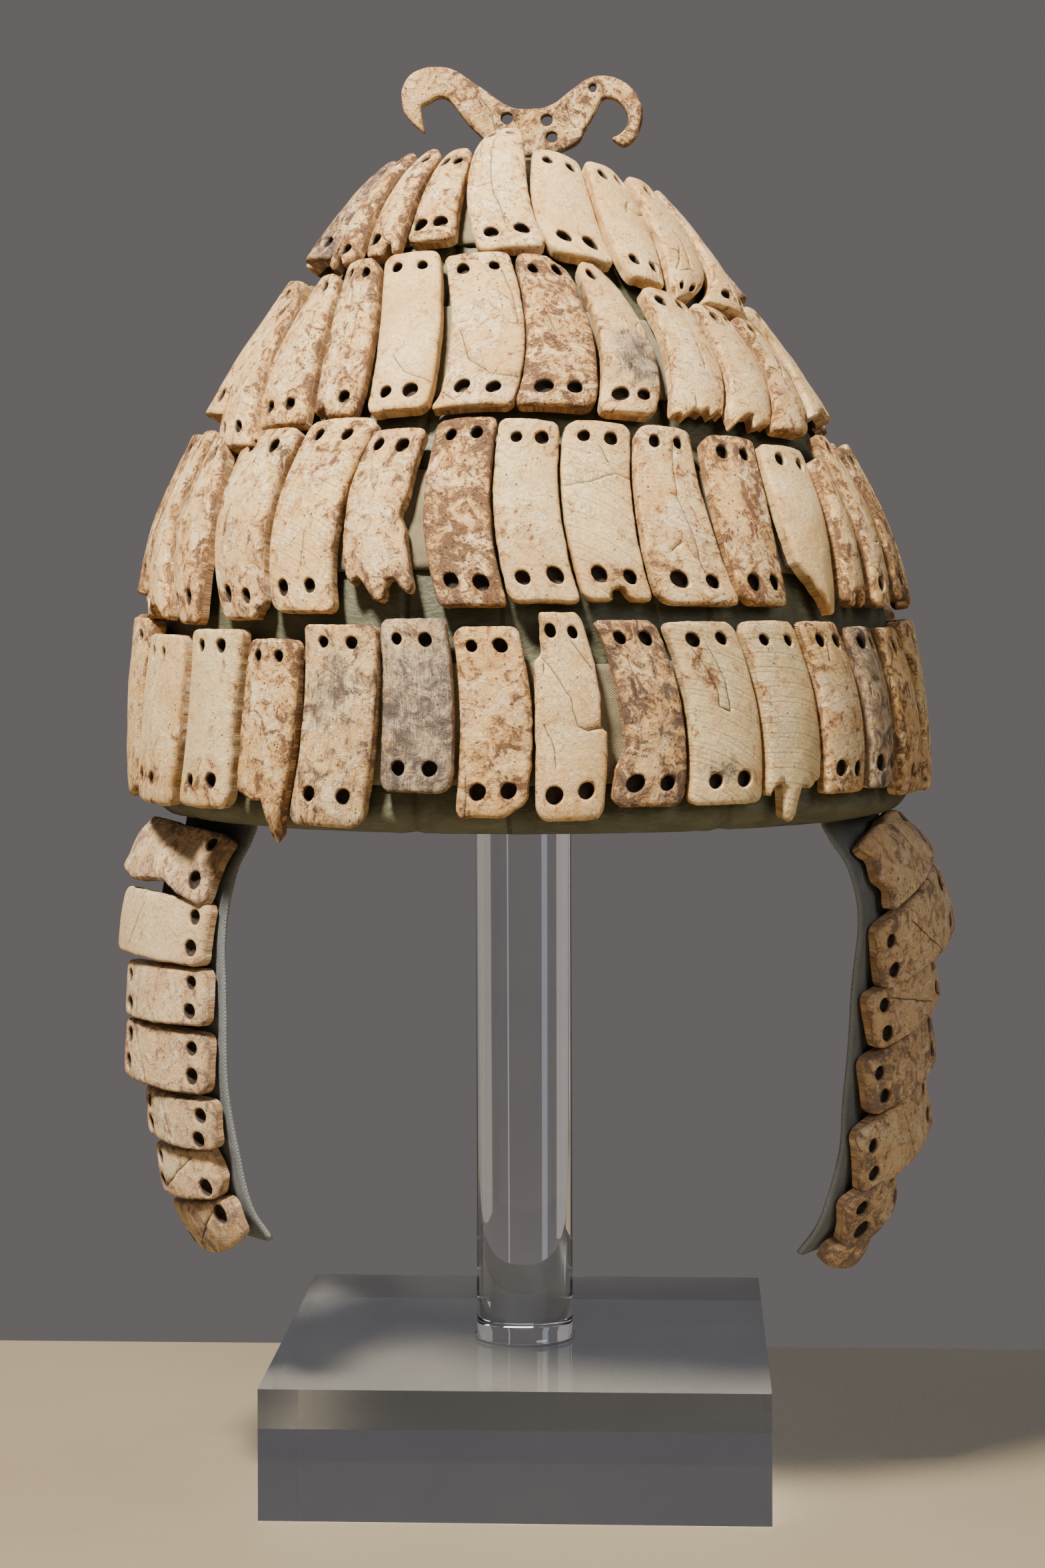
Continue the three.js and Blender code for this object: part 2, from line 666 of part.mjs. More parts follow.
// The acrylic block and rod, and the cradle that follows the inside of the crown.
function addStand() {
  const block = new THREE.BoxGeometry(BASE_WIDTH, BASE_DEPTH, BASE_HEIGHT);
  block.translate(0, BASE_SETBACK, BASE_HEIGHT / 2);
  addMesh(object, "stand_block", block, ACRYLIC);

  const clearance = new THREE.Vector2(0, 2 * GAP); // measured upright, on a slope of up to 45 degrees
  const within = capInside.filter((point) => point.x < CRADLE_RADIUS);
  const under = within.map((point) => point.clone().sub(clearance));
  const foot = Math.min(under[0].y, crownHeight - CAP_WALL - CRADLE_THICKNESS) - GAP;
  const section = [new THREE.Vector2(0, foot), new THREE.Vector2(under[0].x, foot), ...under];
  const cradle = new THREE.LatheGeometry(section, ROD_SEGMENTS);
  addMesh(leaning, "stand_cradle", cradle.rotateX(Math.PI / 2), ACRYLIC);

  const rodLength = foot - BASE_HEIGHT - 2 * GAP;
  const rod = new THREE.CylinderGeometry(ROD_DIAMETER / 2, ROD_DIAMETER / 2, rodLength, ROD_SEGMENTS);
  rod.rotateX(Math.PI / 2).translate(0, 0, BASE_HEIGHT + GAP + rodLength / 2);
  addMesh(object, "stand_rod", rod, ACRYLIC);
}

addStand();
addCap();
for (const row of ROWS) {
  addMesh(leaning, `${row.name}_backing_band`, bandGeometry(row), BACKING);
  row.plates.forEach((plate, i) => {
    const geometry = plateGeometry(row, plate, row.edges[i], row.edges[i + 1]);
    addMesh(leaning, `${row.name}_plate_${i + 1}`, geometry, IVORY);
  });
}
STRAPS.forEach(addStrap);
addCrest();

export default object;
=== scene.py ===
import math

import bpy
import numpy as np
from mathutils import Matrix, Vector
from mathutils.geometry import delaunay_2d_cdt


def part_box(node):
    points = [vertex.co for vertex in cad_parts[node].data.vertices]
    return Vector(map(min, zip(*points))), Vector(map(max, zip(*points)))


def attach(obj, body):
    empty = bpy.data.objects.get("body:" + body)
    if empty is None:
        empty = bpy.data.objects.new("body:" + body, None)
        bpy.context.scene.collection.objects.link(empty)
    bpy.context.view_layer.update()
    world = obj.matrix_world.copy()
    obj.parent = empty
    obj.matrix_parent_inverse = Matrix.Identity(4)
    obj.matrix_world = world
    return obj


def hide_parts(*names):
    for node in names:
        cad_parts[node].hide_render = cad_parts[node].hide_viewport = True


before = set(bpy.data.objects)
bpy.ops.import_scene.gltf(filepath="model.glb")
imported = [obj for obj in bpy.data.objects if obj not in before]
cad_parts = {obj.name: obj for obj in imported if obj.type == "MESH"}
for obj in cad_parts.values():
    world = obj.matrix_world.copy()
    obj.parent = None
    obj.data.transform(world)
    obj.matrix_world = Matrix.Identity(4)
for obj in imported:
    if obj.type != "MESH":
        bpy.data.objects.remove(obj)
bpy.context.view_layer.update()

# Lengths are in millimetres until a mesh is made. Bearings are degrees about the axis, 0 at the front
# and positive towards +X. Shares run along a profile from its foot, 0, to its top, 1.
MM = 0.001
RADIANS = math.pi / 180

# ---- The helmet's own frame: the soft cap has slumped, each level shifted sideways and still level.
RIM_OFFSET = 2.5
CROWN_OFFSET = 4.5
RIM_HEIGHT = 205.0
CAP_HEIGHT = 201.0
CAP_RADIUS = 115.5
SLANT = -(RIM_OFFSET + CROWN_OFFSET) / CAP_HEIGHT


def slump(points):
    """Points of the helmet's own frame, shifted into the frame of the part."""
    shift = RIM_OFFSET + SLANT * (points[..., 2] - RIM_HEIGHT)
    return points + np.stack([shift, 0 * shift, 0 * shift], -1)


def smooth_line(points, steps=24):
    """A dense line through the points, smooth where they bend."""
    points = np.asarray(points, float)
    line = []
    for i in range(len(points) - 1):
        a, b, c, d = (points[min(max(k, 0), len(points) - 1)] for k in (i - 1, i, i + 1, i + 2))
        t = np.linspace(0, 1, steps, endpoint=False)[:, None]
        line.append(0.5 * (2 * b + (c - a) * t + (2 * a - 5 * b + 4 * c - d) * t**2 + (3 * b - a - 3 * c + d) * t**3))
    return np.vstack(line + [points[-1:]])


class Profile:
    """A line in (r, z) with a share and an outward normal at each point."""

    def __init__(self, points):
        self.points = smooth_line(points)
        lengths = np.r_[0, np.cumsum(np.hypot(*np.diff(self.points, axis=0).T))]
        self.length = lengths[-1]
        self.shares = lengths / self.length
        along = np.gradient(self.points, axis=0)
        along /= np.hypot(*along.T)[:, None]
        self.normals = np.stack([along[:, 1], -along[:, 0]], -1)

    def at(self, share, offset=0.0):
        pick = lambda table: np.stack([np.interp(share, self.shares, table[:, k]) for k in (0, 1)], -1)
        return pick(self.points) + pick(self.normals) * np.asarray(offset, float)[..., None]


CAP_SECTIONS = [
    (0, 0.978), (0.035, 1), (0.15, 0.996), (0.25, 0.977), (0.33, 0.958), (0.42, 0.915), (0.5, 0.85), (0.58, 0.772),
    (0.66, 0.686), (0.74, 0.588), (0.82, 0.486), (0.885, 0.4), (0.935, 0.32), (0.968, 0.236), (0.992, 0.113), (1, 0),
]
CAP = Profile([(out * CAP_RADIUS, RIM_HEIGHT + up * CAP_HEIGHT) for up, out in CAP_SECTIONS])


def cap_point(share, bearing, offset):
    """Points on the cap, offset from its leather, in the frame of the part."""
    share, bearing, offset = np.broadcast_arrays(share, bearing, offset)
    p = CAP.at(share, offset)
    angle = bearing * RADIANS
    return slump(np.stack([p[..., 0] * np.sin(angle), -p[..., 0] * np.cos(angle), p[..., 1]], -1))


# ---- Noise made from seeded tables, the same on each run.
TABLE = np.random.default_rng(11).random((256, 256))


def value_noise(x, y):
    x, y = np.asarray(x, float), np.asarray(y, float)
    i, j = np.floor(x).astype(int), np.floor(y).astype(int)
    u, v = x - i, y - j
    u, v = u * u * (3 - 2 * u), v * v * (3 - 2 * v)
    grid = lambda a, b: TABLE[a % 256, b % 256]
    low = grid(i, j) * (1 - u) + grid(i + 1, j) * u
    high = grid(i, j + 1) * (1 - u) + grid(i + 1, j + 1) * u
    return low * (1 - v) + high * v


def fractal(x, y, size, seed, octaves=4):
    """Noise from -1 to 1 with features of about the given size."""
    total, weight, amount = 0.0, 0.0, 1.0
    for k in range(octaves):
        step = size / 2**k
        layer = value_noise(x / step + seed * 7.31 + k * 17.7, y / step + seed * 3.77 + k * 5.3)
        total = total + amount * (2 * layer - 1)
        weight += amount
        amount *= 0.5
    return total / weight


# ---- Flat shapes.
def near_lines(points, lines):
    """Distance from each point to the nearest segment of closed or open lines."""
    best = np.full(len(points), 1e9)
    for line, closed in lines:
        a = line if closed else line[:-1]
        b = np.roll(line, -1, axis=0) if closed else line[1:]
        ab = b - a
        long = np.maximum((ab**2).sum(1), 1e-12)
        t = np.clip(((points[:, None] - a) * ab).sum(2) / long, 0, 1)
        best = np.minimum(best, np.sqrt((((a + t[..., None] * ab) - points[:, None]) ** 2).sum(2)).min(1))
    return best


def within(points, loop):
    """Which points lie inside a closed loop."""
    inside = np.zeros(len(points), bool)
    for a, b in zip(loop, np.roll(loop, -1, axis=0)):
        crosses = (a[1] > points[:, 1]) != (b[1] > points[:, 1])
        if crosses.any():
            x = a[0] + (points[:, 1] - a[1]) / (b[1] - a[1] + 1e-12) * (b[0] - a[0])
            inside ^= crosses & (points[:, 0] < x)
    return inside


def circle(centre, radius, count, seed):
    angle = np.arange(count) / count * 2 * math.pi
    wobble = 1 + 0.07 * fractal(np.cos(angle) * 2, np.sin(angle) * 2, 1.5, seed, 2)
    return np.stack([centre[0] + radius * wobble * np.cos(angle), centre[1] + radius * wobble * np.sin(angle)], -1)


def offset_loop(loop, distance):
    """A loop's points moved inwards, to the left of its direction."""
    along = np.roll(loop, -1, axis=0) - np.roll(loop, 1, axis=0)
    along /= np.maximum(np.hypot(*along.T), 1e-9)[:, None]
    return loop + np.stack([-along[:, 1], along[:, 0]], -1) * distance


def spread(table, at):
    """A line of (place, amount) pairs, read at the given places."""
    xs, ys = zip(*table)
    return np.interp(at, xs, ys)


def plate_outline(half, height, corner, foot=(), top=(), left=(), right=(), rough=0.25, seed=0, spacing=0.95):
    """A worn rounded rectangle, anticlockwise from its lower left corner. foot, top, left and right are
    (place, amount) pairs: how far that side is broken back, in millimetres."""
    radii = np.broadcast_to(corner, 4)
    spots = [(-half, 0, 180), (half, 0, 270), (half, height, 0), (-half, height, 90)]
    path = []
    for (x, y, start), radius in zip(spots, radii):
        centre = (x - math.copysign(radius, x), y + (radius if y == 0 else -radius))
        for angle in np.linspace(start, start + 90, 7) * RADIANS:
            path.append((centre[0] + radius * math.cos(angle), centre[1] + radius * math.sin(angle)))
    path = np.array(path)
    step = np.hypot(*(np.roll(path, -1, axis=0) - path).T)
    loop = []
    for here, there, length in zip(path, np.roll(path, -1, axis=0), step):
        count = max(1, int(round(length / spacing)))
        loop += [here + (there - here) * k / count for k in range(count)]
    loop = np.array(loop)
    u, v = loop[:, 0] / half, loop[:, 1] / height
    shift = np.zeros_like(loop)
    if foot:
        shift[:, 1] += spread(foot, u) * np.clip(1 - 2 * v, 0, 1)
    if top:
        shift[:, 1] -= spread(top, u) * np.clip(2 * v - 1, 0, 1)
    if left:
        shift[:, 0] += spread(left, v) * np.clip(-u, 0, 1) ** 3
    if right:
        shift[:, 0] -= spread(right, v) * np.clip(u, 0, 1) ** 3
    loop = loop + shift
    x, y = loop.T
    wear = rough * fractal(x, y, 7, seed, 4) + 0.5 * rough * fractal(x, y, 1.6, seed + 3, 2)
    broken = np.clip(np.hypot(*shift.T) / 2, 0, 1) * 0.45 * fractal(x, y, 2.2, seed + 5, 3)
    return loop + (offset_loop(loop, 1) - loop) * (wear + broken + rough * 0.4)[:, None]


def crack_line(points, seed, sway=0.5, spacing=0.8):
    """A jagged line through the given points."""
    points = np.asarray(points, float)
    out = []
    for a, b in zip(points, points[1:]):
        count = max(2, int(np.hypot(*(b - a)) / spacing))
        out += [a + (b - a) * k / count for k in range(count)]
    out = np.array(out + [points[-1]])
    side = np.stack([fractal(out[:, 0], out[:, 1], 3, seed, 3), fractal(out[:, 1], out[:, 0], 3, seed + 9, 3)], -1)
    fade = np.sin(np.linspace(0, math.pi, len(out)))[:, None] * 0.6 + 0.4
    return out + side * sway * fade


# ---- One plate of tusk, from its flat shape to a closed mesh.
BORE_FLOOR = 0.3  # how high a blind bore's floor lies, as a share of the plate's thickness; the floor is painted nearly black as painted shade, in place of the shade deep in a through bore


def tusk_mesh(name, loop, place, thickness, material, *, holes=(), cracks=(), relief=0.22, tone=(0.4, 0, 0, 0),
              stains=(), pit=0.4, edge=1.1, seed=0, grid=1.65, twin=False, growth=None, crown=lambda x, y: 0 * x):
    """loop is the outline in millimetres and place maps (x, y, height) to the part's frame. holes are
    (x, y, radius), cracks lists of points, and stains (x, y, wide, high, channel, amount) with channels
    0 brown, 1 grey, 2 green. twin rounds the back as well."""
    rounds = [circle((x, y), r, 18, seed + i) for i, (x, y, r) in enumerate(holes)]
    lines = [(loop, True)] + [(r, True) for r in rounds]
    points, kinds = [loop], [np.zeros(len(loop), int)]
    edges = []
    start = 0

    def add_loop(line, kind, closed):
        nonlocal start
        if line is not loop:
            points.append(line)
            kinds.append(np.full(len(line), kind))
        n = len(line)
        edges.extend((start + i, start + (i + 1) % n) for i in range(n if closed else n - 1))
        start += n

    add_loop(loop, 0, True)
    for r in rounds:
        add_loop(r, 1, True)
    tracks = []
    for i, crack in enumerate(cracks):
        line = crack_line(crack, seed + 31 * i)
        good = within(line, loop) & (near_lines(line, lines) > 0.35)
        runs = np.split(np.arange(len(line)), np.where(~good)[0])
        runs = [r[good[r]] for r in runs]
        for run in runs:
            if len(run) < 4:
                continue
            track = line[run]
            if tracks and near_lines(track, tracks).min() < 0.8:
                keep = near_lines(track, tracks) > 0.8
                track = track[keep]
                if len(track) < 4:
                    continue
            along = np.gradient(track, axis=0)
            along /= np.maximum(np.hypot(*along.T), 1e-9)[:, None]
            side = np.stack([-along[:, 1], along[:, 0]], -1) * 0.3
            tracks.append((track, False))
            add_loop(track, 2, False)
            for s in (side, -side):
                points.append(track + s)
                kinds.append(np.full(len(track), 3))
                start += len(track)
    loose = []
    for ring, steps in ((loop, (0.28, 0.75, 1.5)), *((r[::-1], (0.3, 0.8)) for r in rounds)):
        for k, step in enumerate(steps):
            line = offset_loop(ring, step)
            line = line if k < 1 else line[::2] if k > 1 else line
            keep = within(line, loop) & (near_lines(line, lines) > step * 0.85)
            loose.append(line[keep])
    lo, hi = loop.min(0), loop.max(0)
    xs, ys = np.meshgrid(np.arange(lo[0], hi[0], grid), np.arange(lo[1], hi[1], grid * 0.9))
    xs = xs + (np.arange(xs.shape[0]) % 2)[:, None] * grid / 2
    field = np.stack([xs.ravel(), ys.ravel()], -1)
    field = field[within(field, loop)]
    loose.append(field[near_lines(field, lines) > 2.1 if edge > 0.6 else near_lines(field, lines) > 1.2])
    loose = np.vstack(loose)
    for r, (x, y, radius) in zip(rounds, holes):
        loose = loose[np.hypot(loose[:, 0] - x, loose[:, 1] - y) > radius * 1.05]
    if tracks:
        loose = loose[near_lines(loose, tracks) > 0.55]
    points.append(loose)
    kinds.append(np.full(len(loose), 4))
    flat, kind = np.vstack(points), np.concatenate(kinds)

    def triangles(flat, edges, cut_out):
        made = delaunay_2d_cdt([Vector(p) for p in flat.tolist()], edges, [], 0, 1e-5)
        verts = np.array([tuple(v) for v in made[0]])
        faces = np.array(made[2])
        centre = verts[faces].mean(1)
        keep = within(centre, loop)
        for r in cut_out:
            keep &= ~within(centre, r)
        return verts, faces[keep], made[3]

    verts, faces, origin = triangles(flat, edges, rounds)
    source = np.array([o[0] if o else -1 for o in origin])
    vkind = np.where(source >= 0, kind[source], 4)
    rim_index = {o: i for i, origins in enumerate(origin) for o in origins}
    near_rim = near_lines(verts, lines[:1])
    near_hole = near_lines(verts, lines[1:]) if rounds else np.full(len(verts), 9.0)

    def drop(distance, radius):
        inside = np.clip(radius - distance, 0, radius)
        return radius - np.sqrt(np.maximum(radius**2 - inside**2, 0))

    x, y = verts[:, 0], verts[:, 1]
    rounding = edge * (1 + 0.25 * fractal(x, y, 9, seed + 21, 2))
    bumps = relief * (fractal(x, y, 11, seed + 1, 3) + 0.45 * fractal(x, y, 3.2, seed + 2, 3))
    cut = np.where(vkind == 2, 0.45, 0.0)
    fall = drop(near_rim, rounding) + drop(near_hole, np.full(len(verts), 0.45))
    height = thickness + crown(x, y) + bumps * np.clip(near_rim / 1.5, 0.2, 1) - fall - cut
    front = place(x, y, height)

    # The back: the same faces turned round on a twin, and a coarse face on a plate that lies on its band,
    # where the bores end blind on a floor painted nearly black as painted shade for the depth of a through bore.
    if twin:
        bflat, bfaces, blookup = verts, faces, rim_index
        back = place(x, y, -crown(x, y) - bumps * 0.6 + fall)
    else:
        xs, ys = np.meshgrid(np.arange(lo[0], hi[0], 5.5), np.arange(lo[1], hi[1], 5.5))
        coarse = np.stack([xs.ravel(), ys.ravel()], -1)
        coarse = coarse[within(coarse, loop)]
        coarse = coarse[near_lines(coarse, lines[:1]) > 2.2]
        ring = [(i, (i + 1) % len(loop)) for i in range(len(loop))]
        bflat, bfaces, borigin = triangles(np.vstack([loop, coarse]), ring, ())
        blookup = {o: i for i, origins in enumerate(borigin) for o in origins}
        back = place(bflat[:, 0], bflat[:, 1], crown(bflat[:, 0], bflat[:, 1]) * 0.6)

    all_points, faces_all, xy = [front, back], [faces, bfaces[:, ::-1] + len(front)], [verts, bflat]
    wall_flag, hole_flag = [np.zeros(len(front)), np.ones(len(back))], [np.zeros(len(front) + len(back))]
    count = len(front) + len(back)
    begin, sharp = 0, []
    for n, line in enumerate([loop] + rounds):
        ids = np.array([rim_index[begin + i] for i in range(len(line))])
        upper_ring = front[ids]
        blind = n and not twin
        if blind:
            lower_ring = place(line[:, 0], line[:, 1], crown(line[:, 0], line[:, 1]) + thickness * BORE_FLOOR)
        else:
            bids = np.array([blookup[begin + i] for i in range(len(line))])
            lower_ring = back[bids]
        begin += len(line)
        rings = [ids]
        for level in (0.35, 0.75, 1.0) if blind else (0.35, 0.75):
            ring = upper_ring + (lower_ring - upper_ring) * level
            bulge = 0.16 * fractal(line[:, 0], line[:, 1] + level * 9, 2.4, seed + 40 + n, 3)
            away = ring - ring.mean(0)
            away /= np.maximum(np.linalg.norm(away, axis=1), 1e-9)[:, None]
            rings.append(np.arange(count, count + len(line)))
            all_points.append(ring + away * bulge[:, None])
            xy.append(line)
            wall_flag.append(np.ones(len(line)))
            hole_flag.append(np.full(len(line), 1.0 if n else 0.0))
            count += len(line)
        # A blind bore's floor, which the material paints nearly black as painted shade.
        if blind:
            all_points.append(lower_ring.mean(0)[None])
            xy.append(line.mean(0)[None])
            wall_flag.append(np.ones(1))
            hole_flag.append(np.ones(1))
            last = rings[-1]
            faces_all.append(np.stack([np.full(len(line), count), np.roll(last, -1), last], -1)[:, ::-1])
            count += 1
        else:
            rings.append(bids + len(front))
        for upper, lower in zip(rings, rings[1:]):
            u2, l2 = np.roll(upper, -1), np.roll(lower, -1)
            quads = np.concatenate([np.stack([upper, lower, l2], -1), np.stack([upper, l2, u2], -1)])
            faces_all.append(quads if n == 0 else quads[:, ::-1])
        if n == 0 and not twin:
            sharp = (bids + len(front)).tolist()
    points3, tris, flats = np.vstack(all_points), np.vstack(faces_all), np.vstack(xy)
    wall, hole = np.concatenate(wall_flag), np.concatenate(hole_flag)
    mesh = bpy.data.meshes.new(name)
    mesh.from_pydata((points3 * MM).tolist(), [], tris.tolist())
    mesh.update()
    mesh.shade_smooth()
    if sharp:
        pairs = np.zeros(len(mesh.edges) * 2, np.int32)
        mesh.edges.foreach_get("vertices", pairs)
        pairs = pairs.reshape(-1, 2)
        flag = np.isin(pairs, sharp).all(1)
        mesh.attributes.new("sharp_edge", "BOOLEAN", "EDGE").data.foreach_set("value", flag)

    total = len(points3)
    rest = total - len(front)
    pad = lambda values, fill: np.concatenate([values, np.full(rest, fill)])
    rim_glow = np.exp(-near_rim / 2.2) * 0.9 + np.exp(-near_hole / 1.3) * 0.7
    worn = pad(np.clip(rim_glow, 0, 1), 1.0)
    cracked = pad(np.where(vkind == 2, 1.0, 0.0), 0.0)
    colour = np.tile(np.array(tone, float), (total, 1))
    for sx, sy, wide, high, channel, amount in stains:
        spot = np.exp(-(((flats[:, 0] - sx) / wide) ** 2 + ((flats[:, 1] - sy) / high) ** 2) ** 1.5)
        colour[:, channel] += amount * spot
    offset = np.array([(seed * 37.7) % 211, (seed * 61.3) % 197])
    lay = np.column_stack([flats + offset, pad(height, 0.0) + seed % 17])
    centre = growth if growth is not None else (-30 + (seed * 13.7) % 60, -25.0)
    reach = np.hypot(flats[:, 0] - centre[0], (flats[:, 1] - centre[1]))
    put(mesh, "lay", "FLOAT_VECTOR", lay)
    put(mesh, "tone", "FLOAT_COLOR", np.clip(colour, 0, 1))
    put(mesh, "wear", "FLOAT_COLOR", np.column_stack([worn, cracked, wall, np.full(total, pit)]))
    put(mesh, "growth", "FLOAT", reach)
    # This flags the bores' walls and blind floors, which the material paints nearly black as painted shade.
    put(mesh, "bore_shade_and_mark", "FLOAT", hole)
    obj = bpy.data.objects.new(name, mesh)
    bpy.context.scene.collection.objects.link(obj)
    mesh.materials.append(material)
    return obj


def put(mesh, name, kind, values):
    data = mesh.attributes.new(name, kind, "POINT").data
    field = {"FLOAT": "value", "FLOAT_VECTOR": "vector", "FLOAT_COLOR": "color"}[kind]
    data.foreach_set(field, np.ascontiguousarray(values, np.float32).ravel())


def settle(obj, slot, *nodes):
    """The piece rides on the part's one body and stands for its CAD nodes, which it hides."""
    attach(obj, "root")
    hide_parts(*nodes)
    return obj


# ---- Materials.
def linear(colour):
    """A colour written as #rrggbb, as linear RGBA."""
    parts = [int(colour[k : k + 2], 16) / 255 for k in (1, 3, 5)]
    return tuple(c / 12.92 if c <= 0.04045 else ((c + 0.055) / 1.055) ** 2.4 for c in parts) + (1.0,)


class Value:
    """A value of a shader, whose sums and products become nodes."""

    def __init__(self, shader, socket):
        self.shader, self.socket = shader, socket

    def __add__(self, other):
        return self.shader.math("ADD", self, other)

    def __sub__(self, other):
        return self.shader.math("SUBTRACT", self, other)

    def __mul__(self, other):
        return self.shader.math("MULTIPLY", self, other)


class Shader:
    def __init__(self, name):
        self.material = bpy.data.materials.new(name)
        self.material.use_nodes = True
        self.nodes = self.material.node_tree.nodes
        self.links = self.material.node_tree.links
        self.bsdf = self.nodes["Principled BSDF"]

    def feed(self, socket, value):
        if isinstance(value, Value):
            self.links.new(value.socket, socket)
        else:
            socket.default_value = value

    def node(self, kind, inputs=None, **settings):
        made = self.nodes.new(kind)
        for key, value in settings.items():
            setattr(made, key, value)
        for key, value in (inputs or {}).items():
            self.feed(made.inputs[key], value)
        return made

    def value(self, kind, output, inputs=None, **settings):
        return Value(self, self.node(kind, inputs, **settings).outputs[output])

    def math(self, operation, a, b=0.0, clamp=False):
        return self.value("ShaderNodeMath", 0, {0: a, 1: b}, operation=operation, use_clamp=clamp)

    def mix(self, share, a, b, blend="MIX"):
        return self.value("ShaderNodeMix", 2, {0: share, 6: a, 7: b}, data_type="RGBA", blend_type=blend)

    def noise(self, vector, scale, detail=4.0, roughness=0.55, distortion=0.0):
        inputs = {"Vector": vector, "Scale": scale, "Detail": detail, "Roughness": roughness, "Distortion": distortion}
        return self.value("ShaderNodeTexNoise", "Fac", inputs)

    def cells(self, vector, scale, feature="F1", output="Distance"):
        return self.value("ShaderNodeTexVoronoi", output, {"Vector": vector, "Scale": scale}, feature=feature)

    def step(self, value, low, high, floor=0.0, ceiling=1.0):
        inputs = {"Value": value, "From Min": low, "From Max": high, "To Min": floor, "To Max": ceiling}
        return self.value("ShaderNodeMapRange", 0, inputs, interpolation_type="SMOOTHSTEP")

    def stretch(self, vector, x, y, z=1.0):
        return self.value("ShaderNodeVectorMath", 0, {0: vector, 1: (x, y, z)}, operation="MULTIPLY")

    def attribute(self, name, output="Vector"):
        return self.value("ShaderNodeAttribute", output, attribute_name=name)

    def parts(self, colour):
        return [Value(self, part) for part in self.node("ShaderNodeSeparateColor", {0: colour}).outputs]

    def bump(self, height, strength=1.0):
        """height is in millimetres."""
        made = self.node("ShaderNodeBump", {"Height": height, "Distance": MM, "Strength": strength})
        self.links.new(made.outputs[0], self.bsdf.inputs["Normal"])

    def finish(self, **sockets):
        for name, value in sockets.items():
            self.feed(self.bsdf.inputs[name.replace("_", " ")], value)
        return self.material


